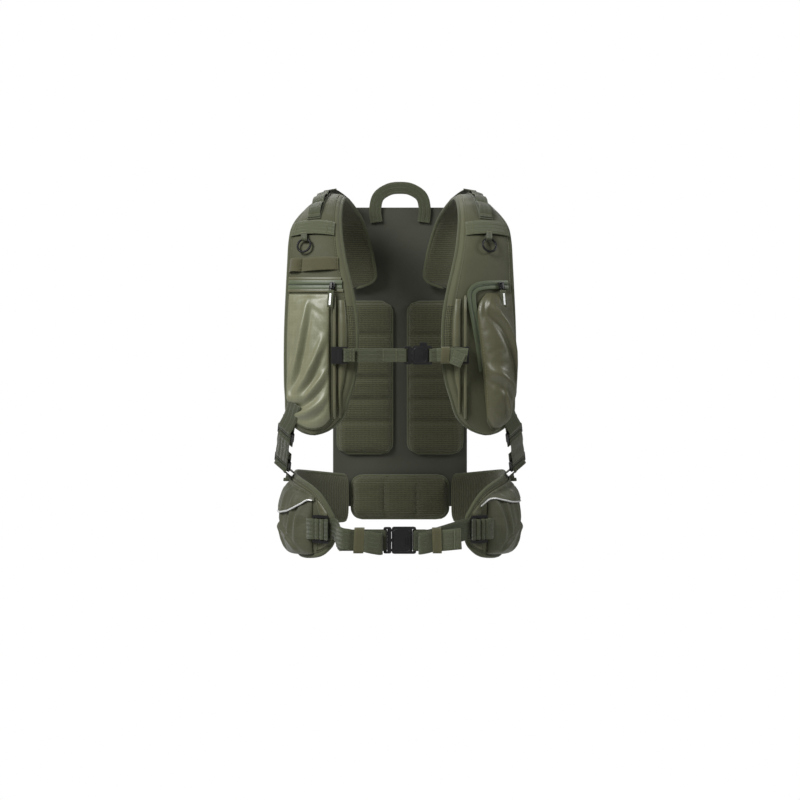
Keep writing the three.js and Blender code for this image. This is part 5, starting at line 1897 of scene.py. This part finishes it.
@dataclass
class HipBelt:
    """Waist webbing: anchors on the wings, frames, folded slack in keepers, centre buckle."""

    wide: float = 0.032
    thick: float = WEB_THICK
    turn: float = BAR_TURN
    frame_turn: float = LOCK_TURN

    def build(self) -> None:
        """Builds the belt's soft pieces."""
        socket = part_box("belt_socket")
        y = (socket[0].y + socket[1].y) / 2
        z = (socket[0].z + socket[1].z) / 2
        socket_bar = socket[1].x - BAR_INSET
        plug_bar = plug_bar_x("belt_plug")
        self.side("l", 1, socket_bar, y, z)
        self.side("r", -1, plug_bar, y, z)
        line = round_bar(plug_bar, y, z, -1, 0.036, 0.033, self.turn)
        sew_web("Belt_loop_r", "belt_plug_half", line, UP, 0.0012, self.wide, WEB_DARK, ["belt_loop_r"])
        spots = [Station(Vector((plug_bar - d, y - self.turn - TACK_LIFT, z)), UP, FRONT)
                 for d in (0.0340, 0.0318)]
        sew_tacks("Belt_loop_tacks", "belt_plug_half", spots, 0.028)
        self.slack(y, z)

    def side(self, key: str, side: int, bar: float, y: float, z: float) -> None:
        """Webbing from the buckle to the frame on one wing, and the frame's sewn anchor."""
        frame = plate_of(f"belt_frame_{key}")
        along = frame.axes[1]
        if along.x * side < 0:
            along = -along
        out = frame.axes[2]
        if out.y > 0:
            out = -out
        up = frame.axes[0] if frame.axes[0].z > 0 else -frame.axes[0]
        reach = frame.sizes[1] / 2 - BAR_INSET
        front_bar = frame.centre - along * reach
        back_bar = frame.centre + along * reach
        wrap = half_turn(front_bar, along, -out, self.frame_turn)
        tail = [front_bar - along * 0.004 + out * self.frame_turn]
        inside = front_bar - along * 0.012 - out * self.frame_turn
        if side > 0:
            start = round_bar(bar, y, z, 1, 0.034, 0.012, self.turn)
            middle = [Vector((bar + 0.026, y + self.turn, z + 0.001))]
        else:
            start = [Vector((bar - d, y + rise, z)) for d, rise in
                     ((0.028, 0), (0.042, 0), (0.052, 0), (0.058, 0.0001), (0.0605, 0.0006), (0.063, 0.0018),
                      (0.066, 0.0044))]
            middle = []
        sew_web(f"Belt_web_{key}", "harness", [*start, *middle, inside, *wrap, *tail], UP, 0.0014, self.wide,
                WEB_DARK,
                [f"belt_web_{key}"])

        sewn = 0.0155
        t = self.frame_turn
        tab = [back_bar + along * sewn - out * t, back_bar + along * 0.004 - out * t]
        tab += half_turn(back_bar, -along, -out, t)
        tab += [back_bar + along * 0.004 + out * t, back_bar + along * 0.009 + out * (t * 0.55),
                back_bar + along * sewn - out * (t - self.thick - 0.0003)]
        sew_web(f"Belt_anchor_{key}", "harness", tab, up, 0.0012, self.wide * 0.97, WEB,
                [f"belt_anchor_{key}"])
        spots = [Station(back_bar + along * d + out * (-t * 0.2 + 0.0002), up, out) for d in (0.0125, 0.0142)]
        sew_tacks(f"Belt_anchor_tacks_{key}", "harness", spots, self.wide * 0.8)

        ribs = Pile()
        for offset, lift in ((0.0052, 0.0038), (-0.0046, 0.0046)):
            centre = frame.centre + along * offset
            half = 0.0042
            pts = [centre - along * half - out * 0.0006, centre - along * (half * 0.75) + out * (lift * 0.75),
                   centre + out * lift, centre + along * (half * 0.75) + out * (lift * 0.75),
                   centre + along * half - out * 0.0006]
            strip(ribs, stations(flow(pts, 0.0008), up), self.wide * 0.96, self.thick * 0.8, WEB)
        ribs.build(f"Belt_frame_ribs_{key}", "harness")

    def slack(self, y: float, z: float) -> None:
        """Folded slack of the webbing and the elastic keepers that hold it."""
        front = y - 0.0076
        pile = Pile()
        bulge = [Vector((-0.0945, y + 0.010, z + 0.005)), Vector((-0.0900, front + 0.0075, z + 0.0045)),
                 Vector((-0.0850, front + 0.0015, z + 0.003)), Vector((-0.0780, front, z + 0.002)),
                 Vector((-0.0720, front + 0.0016, z + 0.0005)), Vector((-0.0650, front + 0.0028, z)),
                 Vector((-0.0540, front + 0.0020, z - 0.0005))]
        strip(pile, stations(flow(bulge, 0.002), UP), self.wide * 0.98, self.thick, WEB)
        pile.build("Belt_slack_r", "harness")
        fold = Pile()
        self.hanging(fold, [(-0.0560, 0.0006), (-0.0480, -0.0042), (-0.0380, -0.0056), (-0.0300, -0.0050),
                            (-0.0266, -0.0018), (-0.0285, 0.0010), (-0.0370, 0.0008), (-0.0480, 0.0014)],
                     front, z, 0.0052)
        fold.build("Belt_tail_r", "harness")
        fold = Pile()
        self.hanging(fold, [(0.0500, 0.0006), (0.0430, -0.0040), (0.0370, -0.0054), (0.0310, -0.0046),
                            (0.0282, -0.0018), (0.0298, 0.0010), (0.0370, 0.0008), (0.0470, 0.0014)], front,
                     z, 0.0046)
        fold.build("Belt_tail_l", "harness")
        end = Pile()
        pts = [Vector((0.0480, front + 0.0012, z - 0.0004)), Vector((0.0600, front + 0.0006, z)),
               Vector((0.0720, front + 0.0020, z + 0.0008)), Vector((0.0820, front + 0.0046, z + 0.0016)),
               Vector((0.0910, front + 0.0075, z + 0.0022))]
        line = stations(flow(pts, 0.002), UP)
        strip(end, line, self.wide * 0.99, self.thick, WEB_PALE)
        last = line[-6]
        ahead = (line[-1].at - line[-6].at).normalized()
        ridged_end(end, last.at + Vector((0, -0.0012, 0)), ahead, UP, FRONT, self.wide * 0.97, WEB_PALE)
        end.build("Belt_tail_end_l", "harness")
        band = Pile()
        keeper(band, -0.0612, y - 0.0006, z - 0.0002, 0.0150, self.wide + 0.0050, 0.0176, ELASTIC, 0.05)
        band.build("Belt_keeper_r", "harness")
        band = Pile()
        keeper(band, 0.0550, y - 0.0006, z - 0.0002, 0.0135, self.wide + 0.0050, 0.0176, ELASTIC, -0.03)
        band.build("Belt_keeper_l", "harness")

    def hanging(self, pile: Pile, route: Sequence[tuple[float, float]], front: float, z: float,
                drop: float) -> None:
        """Adds a folded loop of webbing whose nose hangs lower than the strap."""
        points = [Vector((x, front + dy, z)) for x, dy in route]
        line = flow(points, 0.0014)
        nose = line[len(line) // 2]
        reach = abs(route[0][0] - nose.x)
        placed = []
        for p in line:
            t = 1 - min(1.0, abs(p.x - nose.x) / reach)
            placed.append(p + Vector((0, 0, -drop * t ** 0.8)))
        strip(pile, stations(placed, UP), self.wide, self.thick, WEB)


@dataclass
class SideAdjuster:
    """Webbing from the strap's lower corner to the wing, with its two ladder-locks."""

    key: str
    side: int
    strap: Strap
    wing: Wing
    wide: float = 0.025
    thick: float = WEB_THICK
    turn: float = LOCK_TURN

    def build(self) -> None:
        """Builds the adjuster's webbing and tabs."""
        lock = plate_of(f"adjuster_lock_{self.key}")
        buckle = plate_of(f"wing_buckle_{self.key}")
        along = (buckle.centre - lock.centre).normalized()
        out = lock.axes[2] if lock.axes[2].x * self.side > 0 else -lock.axes[2]
        across = lock.axes[0]
        reach = lock.sizes[1] / 2 - BAR_INSET
        top, low = lock.centre + along * reach, buckle.centre - along * reach
        t = self.turn
        path = [top + along * 0.018 - out * (t - 0.0003), top + along * 0.008 - out * t]
        path += half_turn(top, -along, -out, t)
        middle = [top.lerp(low, s) + out * (t + 0.0006 * math.sin(s * 9)) for s in (0.25, 0.5, 0.75)]
        path += middle
        path += half_turn(low, along, out, t)
        path += [low - along * 0.008 - out * t, low - along * 0.018 - out * (t - 0.0003)]
        sew_web(f"Adjuster_web_{self.key}", "harness", path, across, 0.0014, self.wide, WEB,
                [f"adjuster_web_{self.key}"])
        self.ribs(lock, along, out, across, "Adjuster_ribs")
        self.ribs(buckle, along, out, across, "Wing_buckle_ribs")
        self.tab_on_strap(lock.centre - along * reach, along, out, across)
        self.tab_on_wing(buckle.centre + along * reach, along, out, across)

    def ribs(self, plate: Plate, along: Vector, out: Vector, across: Vector, stem: str) -> None:
        """Humps of webbing where it threads the fitting."""
        pile = Pile()
        for offset in (-0.0048, 0.0048):
            centre = plate.centre + along * offset
            pts = [centre - along * 0.0032 - out * 0.0006, centre - along * 0.0022 + out * 0.0022,
                   centre + out * 0.0034, centre + along * 0.0022 + out * 0.0022,
                   centre + along * 0.0032 - out * 0.0006]
            strip(pile, stations(flow(pts, 0.0008), across), self.wide * 0.97, self.thick * 0.8, WEB_DARK)
        behind = [plate.centre + along * d - out * 0.0016 for d in (-0.0105, -0.004, 0.004, 0.0105)]
        strip(pile, stations(flow(behind, 0.0015), across), self.wide * 0.97, self.thick * 0.8, WEB_DARK)
        pile.build(f"{stem}_{self.key}", "harness")

    def tab_on_strap(self, bar: Vector, along: Vector, out: Vector, across: Vector) -> None:
        """Tab sewn on the strap's lower outer corner that holds the upper lock."""
        pad = self.strap.pad
        t = self.turn
        u0, v0 = pad.u_at(-0.327, 0.93), 0.955
        u1, v1 = pad.u_at(-0.305, 0.82), 0.80
        root_in, root_out = pad.at(u0, v0, 0.0022), pad.at(u1, v1, 0.0105)
        back = [bar - along * 0.0035 - out * t]
        back += half_turn(bar, along, -out, t)
        path = [pad.below(u0, 0.97) + pad.normal(u0, 0.95) * 0.004, *back, bar - along * 0.0045 + out * t,
                root_in + pad.normal(u0, v0) * 0.0012, root_out]
        sew_web(f"Strap_tab_{self.key}", "harness", path, across, 0.0014, self.wide * 0.98, WEB)

    def tab_on_wing(self, bar: Vector, along: Vector, out: Vector, across: Vector) -> None:
        """Tab sewn on the wing's top edge that holds the lower lock."""
        pad = self.wing.pad
        t = self.turn
        u = pad.u_of(94)
        v = 0.93
        path = [pad.below(u, 0.965) + pad.normal(u, v) * 0.004, bar + along * 0.0035 - out * t]
        path += half_turn(bar, -along, -out, t)
        path += [bar + along * 0.0045 + out * t, pad.at(u, v, 0.0016), pad.at(u, 0.86, 0.0012)]
        sew_web(f"Wing_tab_{self.key}", "harness", path, across, 0.0014, self.wide * 0.98, WEB)


# --------------------------------------------------------------------------- back
@dataclass
class Back:
    """Frame sheet, mesh-covered foam, lumbar pad, cargo compartment, lifters and handle."""

    def build(self) -> None:
        """Builds the back's soft pieces."""
        for key in ("l", "r"):
            self.mesh_pad(f"back_pad_{key}", f"Back_pad_{key}", 5)
            self.lifter(key)
        self.mesh_pad("lumbar_pad", "Lumbar_pad", 2)
        self.cargo()
        self.handle()

    def mesh_pad(self, node: str, name: str, channels: int) -> None:
        """Foam pad under spacer mesh, with channels pressed into it and a bound edge."""
        lo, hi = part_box(node)
        centre, size = (lo + hi) / 2, hi - lo
        rows, columns = 70, 34

        def face_y(a: float, b: float, x: float, z: float, half: float) -> float:
            edge = min(1.0, (1 - abs(a)) * size.z / 0.034, (1 - abs(b)) * half / 0.013)
            rise = math.sin(math.pi / 2 * max(0.0, edge)) ** 0.6
            groove = 0.0
            for k in range(channels):
                at = -0.72 + 1.44 * (k + 0.5) / channels if channels > 2 else (-0.34, 0.34)[k]
                line = a if channels > 2 else b
                groove += math.exp(-(((line - at) * (size.z if channels > 2 else size.x) / 2 / 0.0042) ** 2))
            depth = size.y * (0.34 + 0.62 * rise - 0.30 * min(1.0, groove) * rise)
            return hi.y - (depth + 0.0006 * noise.noise(Vector((x, a, z)) * 40))

        front, back = cushion(node, rows, columns, 0.016, hi.y, face_y)
        pile = Pile()
        pile.slab(front, back, MESH, side=TAPE)
        obj = pile.build(name, "harness", [node], sharp=60)
        edge = [front[i][0] for i in range(rows)] + [front[-1][j] for j in range(1, columns)]
        edge += [front[i][-1] for i in range(rows - 2, -1, -1)] + [front[0][j]
                                                                   for j in range(columns - 2, 0, -1)]
        points = [Vector(p) + Vector((0, size.y * 0.10, 0)) for p in edge[::2]]
        tape = Pile()
        rope(tape, points, 0.0024, TAPE, sides=8, closed=True, out=lambda p: p - centre)
        tape.build(name + "_binding", "harness")

    def lifter(self, key: str) -> None:
        """Load-lifter webbing from the shoulder to the frame's top edge."""
        node = bpy.data.objects[f"load_lifter_{key}"]
        points = []
        verts = np.array([tuple(v.co) for v in node.data.vertices])
        order = np.argsort(verts[:, 1])
        groups = np.array_split(order, 9)
        for group in groups:
            points.append(Vector(tuple(verts[group].mean(axis=0))))
        points[0].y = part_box(node.name)[0].y + 0.001
        sheet_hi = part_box("frame_sheet")[1]
        behind = sheet_hi.y + 0.0011
        points[-1].y = behind - 0.003
        end = points[-1]
        points += [Vector((end.x, behind - 0.0004, end.z - 0.0010)),
                   Vector((end.x, behind, sheet_hi.z - 0.003)),
                   Vector((end.x, behind, sheet_hi.z - 0.012))]
        side = 1 if key == "l" else -1
        across = lambda p: Vector((side, 0.25, -0.18)).lerp(Vector((side, 0, 0)),
                                                            min(1.0, max(0.0, (p.y - 0.10) / 0.03)))
        sew_web(f"Load_lifter_{key}", "harness", points, across, 0.0015, 0.020, WEB, [node.name])
        spots = [Station(Vector((end.x, behind + 0.0011, sheet_hi.z - drop)), LEFT, BEHIND)
                 for drop in (0.006, 0.010)]
        sew_tacks(f"Load_lifter_tacks_{key}", "harness", spots, 0.016)

    def handle(self) -> None:
        """Haul loop of doubled webbing at the top of the back."""
        lo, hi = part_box("haul_handle")
        y = (lo.y + hi.y) / 2
        wide, z0, z1 = (hi.x - lo.x) / 2, lo.z, hi.z
        shape = [(-0.76, 0.0), (-0.80, 0.35), (-0.70, 0.72), (-0.36, 0.93), (0, 0.975), (0.36, 0.93),
                 (0.70, 0.72),
                 (0.80, 0.35), (0.76, 0.0)]
        points = [Vector((wide * a, y - 0.001 * math.sin(b * 3), z0 + (z1 - z0) * b)) for a, b in shape]
        pile = Pile()
        line = stations(flow(points, 0.003), BEHIND)
        flat = [Station(s.at, s.out, -s.across) for s in line]
        strip(pile, flat, 0.019, 0.0030, WEB, belly=0.0004)
        pile.build("Haul_handle", "harness", ["haul_handle"])

    def cargo(self) -> None:
        """Slim soft compartment on the frame sheet: gusset, zip round the top, lid seam, daisy chain."""
        lo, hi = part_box("cargo_shell")
        centre, size = (lo + hi) / 2, hi - lo
        rows, columns = 96, 56

        def face_y(a: float, b: float, x: float, z: float, half: float) -> float:
            edge = min(1.0, (1 - abs(a)) * size.z / 0.075, (1 - abs(b)) * half / 0.030)
            rise = math.sin(math.pi / 2 * max(0.0, edge)) ** 0.42
            sag = 0.0035 * noise.noise(Vector((x * 16, 0, z * 9))) if a < 0.25 else 0.0
            fold = 0.0024 * noise.noise(Vector((x * 30, 1.7, z * 12))) + 0.0012 * noise.noise(Vector((x, 0,
                                                                                                      z)) * 60)
            seam_gap = 0.0022 * math.exp(-(((z - (centre.z + size.z * 0.22)) / 0.0035) ** 2))
            return lo.y + ((size.y - 0.006) * (0.12 + 0.86 * rise) + (fold + sag - seam_gap) * rise)

        back, front = cushion("cargo_shell", rows, columns, 0.03, lo.y, face_y)
        pile = Pile()
        pile.slab(back, front, COATED_DARK, side=SHELL)
        obj = pile.build("Cargo_bag", "harness", ["cargo_shell"], sharp=60)
        settle(obj, sewn_border(rows, columns, 1, 0.8, 0.1, 0.12), 2.5, 0.02, 0.005, frames=10)
        tree = tree_of(obj)

        def on(x: float, z: float, lift: float = 0.0006) -> Vector:
            hit = tree.ray_cast(Vector((x, hi.y + 0.1, z)), FRONT)[0]
            return (hit or Vector((x, hi.y, z))) + Vector((0, lift, 0))

        trim = Pile()
        w, top = size.x / 2 - 0.020, hi.z - 0.034
        route = [(-w, centre.z + 0.035), (-w, centre.z + 0.11), (-w + 0.004, top - 0.03), (-w + 0.03, top),
                 (0, top + 0.004), (w - 0.03, top), (w - 0.004, top - 0.03), (w, centre.z + 0.11),
                 (w, centre.z + 0.035)]
        spine = flow([on(x, z, 0.0012) for x, z in route], 0.004)
        line = stations(spine, lambda p: Vector((p.x, 0, p.z - centre.z)))
        line = [Station(s.at, s.across, BEHIND) for s in line]
        strip(trim, line, 0.0130, 0.0012, ZIP)
        rope(trim, [s.at + s.out * 0.0008 for s in line], 0.0011, COIL, sides=8, out=lambda p: BEHIND)
        trim.build("Cargo_zip", "harness")
        chain = Pile()
        for x in (-0.034, 0.034):
            zs = np.linspace(centre.z + 0.075, lo.z + 0.055, 40)
            pts = []
            for k, z in enumerate(zs):
                wave = abs(math.sin(math.pi * k / 39 * 6)) ** 0.7
                pts.append(on(x, z, 0.0014 + 0.0024 * wave))
            strip(chain, stations(flow(pts, 0.003), LEFT), 0.020, 0.0016, WEB)
        chain.build("Cargo_daisy_chains", "harness")
        heights = [centre.z + 0.075 + (lo.z + 0.055 - centre.z - 0.075) * k / 6 for k in range(7)]
        spots = [Station(on(x, z, 0.0024), LEFT, BEHIND) for x in (-0.034, 0.034) for z in heights]
        sew_tacks("Cargo_daisy_tacks", "harness", spots, 0.017)
        piping = Pile()
        points = []
        for a in np.linspace(0, 2 * math.pi, 120, endpoint=False):
            x = centre.x + max(-1, min(1, math.cos(a) * 1.35)) * (size.x / 2 - 0.0125)
            z = centre.z + max(-1, min(1, math.sin(a) * 1.35)) * (size.z / 2 - 0.0125)
            points.append(on(x, z, 0.0))
        rope(piping, points, 0.0018, TAPE, sides=8, closed=True, out=lambda p: BEHIND)
        piping.build("Cargo_piping", "harness")


# --------------------------------------------------------------------------- the view
def dress_hardware() -> None:
    """Gives the moulded and metal nodes of the frame their finishes."""
    finishes = {
        "ring_l": WIRE, "ring_r": WIRE, "frame_sheet": SHEET,
    }
    names = ["sternum_socket", "sternum_plug", "belt_socket", "belt_plug"]
    for key in ("l", "r"):
        names += [f"{stem}_{key}" for stem in
                  ("sternum_hook", "zip_slider", "belt_frame", "adjuster_lock", "wing_buckle")]
    for name in names:
        finishes[name] = BLACK
    for name, finish in finishes.items():
        node = bpy.data.objects[name]
        node.data.materials.clear()
        node.data.materials.append(finish.material())
        node.data.set_sharp_from_angle(angle=math.radians(32))
        LOG.info("%s: %s", name, finish.name)


@dataclass
class BuckleRelief:
    """Raised edges, latch arms and slot ribs on the two halves of a side-release buckle."""

    stem: str
    socket_body: str
    rib: float = 0.0007

    def build(self) -> None:
        """Builds the relief of both halves."""
        socket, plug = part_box(f"{self.stem}_socket"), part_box(f"{self.stem}_plug")
        front, back = socket[0].y, socket[1].y
        mid_y = (front + back) / 2
        low, high = plug[0].z, plug[1].z
        mid_z, half = (low + high) / 2, (high - low) / 2
        edge = self._bar_gap(socket[1].x, -1)
        plug_edge = self._bar_gap(plug[0].x, 1)
        body = Pile()
        self._post(body, edge, mid_y, mid_z, half - 0.003, 0.0012)
        face = (socket[0].x + 0.0022, edge - 0.0022)
        self._loop(body, face, front, mid_z, half - 0.0028)
        for k in range(3):
            x = face[1] - 0.003 - 0.0022 * k
            self._post(body, x, front + 0.0001, mid_z, half * 0.42)
        body.build(f"{self.stem.title()}_socket_relief", self.socket_body)
        arms = Pile()
        self._post(arms, plug_edge, mid_y, mid_z, half - 0.003, 0.0012)
        inner, outer = plug_edge + 0.002, socket[0].x - 0.0006
        if outer - inner > 0.004:
            for way in (-1, 1):
                z = mid_z + way * (half - 0.0022)
                line = [Vector((inner, front + 0.0003, z - way * 0.0018)),
                        Vector(((inner + outer) / 2, front - 0.0004, z)),
                        Vector((outer, front + 0.0003, z - way * 0.0006))]
                rope(arms, flow(line, 0.0012), 0.0011, BLACK, sides=8, out=lambda p: FRONT)
        arms.build(f"{self.stem.title()}_plug_relief", f"{self.stem}_plug_half")

    @staticmethod
    def _bar_gap(end: float, way: int) -> float:
        """Place of the free strip of a webbing slot, beyond the webbing."""
        return end + way * 0.0067

    def _post(self, pile: Pile, x: float, y: float, z: float, half: float, radius: float = 0.0) -> None:
        """Adds an upright rib."""
        line = even([Vector((x, y, z - half)), Vector((x, y, z + half))], 0.003)
        rope(pile, line, radius or self.rib, BLACK, sides=8, out=lambda p: FRONT)

    def _loop(self, pile: Pile, face: tuple[float, float], y: float, z: float, half: float) -> None:
        """Adds a raised border with round corners on the front face."""
        x0, x1 = face
        centre = Vector(((x0 + x1) / 2, y, z))
        points = []
        for k in range(48):
            a = 2 * math.pi * k / 48
            cx, cz = math.cos(a), math.sin(a)
            points.append(centre + Vector((math.copysign(abs(cx) ** 0.35, cx) * (x1 - x0) / 2, 0,
                                           math.copysign(abs(cz) ** 0.35, cz) * half)))
        rope(pile, points, self.rib, BLACK, sides=8, closed=True, out=lambda p: FRONT)


def area_light(name: str, place: Vector, aim: Vector, size: float, power: float) -> None:
    """Adds a soft square light."""
    lamp = bpy.data.lights.new(name, "AREA")
    lamp.size = size
    lamp.energy = power
    obj = bpy.data.objects.new(name, lamp)
    obj.location = place
    obj.rotation_euler = (aim - place).to_track_quat("-Z", "Y").to_euler()
    bpy.context.scene.collection.objects.link(obj)


def set_stage() -> None:
    """White surroundings, soft studio lights, a pale floor and the camera."""
    scene = bpy.context.scene
    world = bpy.data.worlds.new("White_surroundings")
    scene.world = world
    world.use_nodes = True
    tree = world.node_tree
    ground = tree.nodes["Background"]
    ground.inputs["Color"].default_value = (1.0, 1.0, 1.0, 1.0)
    seen = tree.nodes.new("ShaderNodeLightPath")
    level = tree.nodes.new("ShaderNodeMapRange")
    level.inputs["To Min"].default_value = 0.20
    level.inputs["To Max"].default_value = 1.0
    tree.links.new(seen.outputs["Is Camera Ray"], level.inputs["Value"])
    tree.links.new(level.outputs[0], ground.inputs["Strength"])
    aim = Vector((0, 0, -0.30))
    area_light("Key", Vector((-1.7, -1.7, 1.5)), aim, 1.3, 95)
    area_light("Side", Vector((2.3, -0.7, 0.9)), aim, 0.7, 22)
    area_light("Rim", Vector((-0.6, 1.9, 1.6)), aim, 1.0, 26)
    mesh = bpy.data.meshes.new("Studio_floor")
    mesh.from_pydata([(-2, -2, -1.6), (2, -2, -1.6), (2, 2, -1.6), (-2, 2, -1.6)], [], [(0, 1, 2, 3)])
    floor = bpy.data.objects.new("Studio_floor", mesh)
    scene.collection.objects.link(floor)
    g = Graph("Pale_floor")
    dust = g.add("TexNoise", None, Vector=g.add("TexCoord").outputs["Object"], Scale=6.0,
                 Detail=4.0).outputs["Fac"]
    tone = g.blend(dust, linear("#f4f4f2"), linear("#e9e9e6"))
    shader = g.add("BsdfPrincipled", None, Base_Color=tone, Roughness=0.8)
    g.add("OutputMaterial", None, Surface=shader.outputs[0])
    mesh.materials.append(g.material)
    camera = bpy.data.cameras.new("Camera")
    camera.sensor_width = 36
    distance, width = 5.0, 1.2
    camera.lens = 36 * (distance - 0.09) / width
    camera.clip_end = 30
    obj = bpy.data.objects.new("Camera", camera)
    tilt = math.radians(2.0)
    focus = Vector((0, -0.09, -0.3015))
    obj.location = focus + Vector((0, -math.cos(tilt), math.sin(tilt))) * (distance - 0.09)
    obj.rotation_euler = (focus - obj.location).to_track_quat("-Z", "Y").to_euler()
    scene.collection.objects.link(obj)
    scene.camera = obj
    scene.view_settings.view_transform = "Standard"
    scene.view_settings.look = "None"


FRAME: dict = {}


def main() -> None:
    """Builds the vest in order round the frame."""
    random.seed(7)
    noise.seed_set(7)
    for obj in list(bpy.data.objects):
        bpy.data.objects.remove(obj)
    FRAME.update(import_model())
    right, left = RightStrap("r", -1), LeftStrap("l", 1)
    wings = {
        "r": Wing("r", -1, ((55, -0.014), (62, -0.027), (70, -0.039), (78, -0.043), (99.5, -0.043))),
        "l": Wing("l", 1, ((50, -0.0085), (60, -0.019), (72, -0.0265), (85, -0.028), (99.5, -0.029))),
    }
    right.build()
    left.build()
    ChestStrap().build()
    for wing in wings.values():
        wing.build()
    HipBelt().build()
    SideAdjuster("r", -1, right, wings["r"]).build()
    SideAdjuster("l", 1, left, wings["l"]).build()
    Back().build()
    BuckleRelief("sternum", "sternum_strap").build()
    BuckleRelief("belt", "harness").build()
    dress_hardware()
    set_stage()
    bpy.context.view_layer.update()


if __name__ == "__main__":
    main()
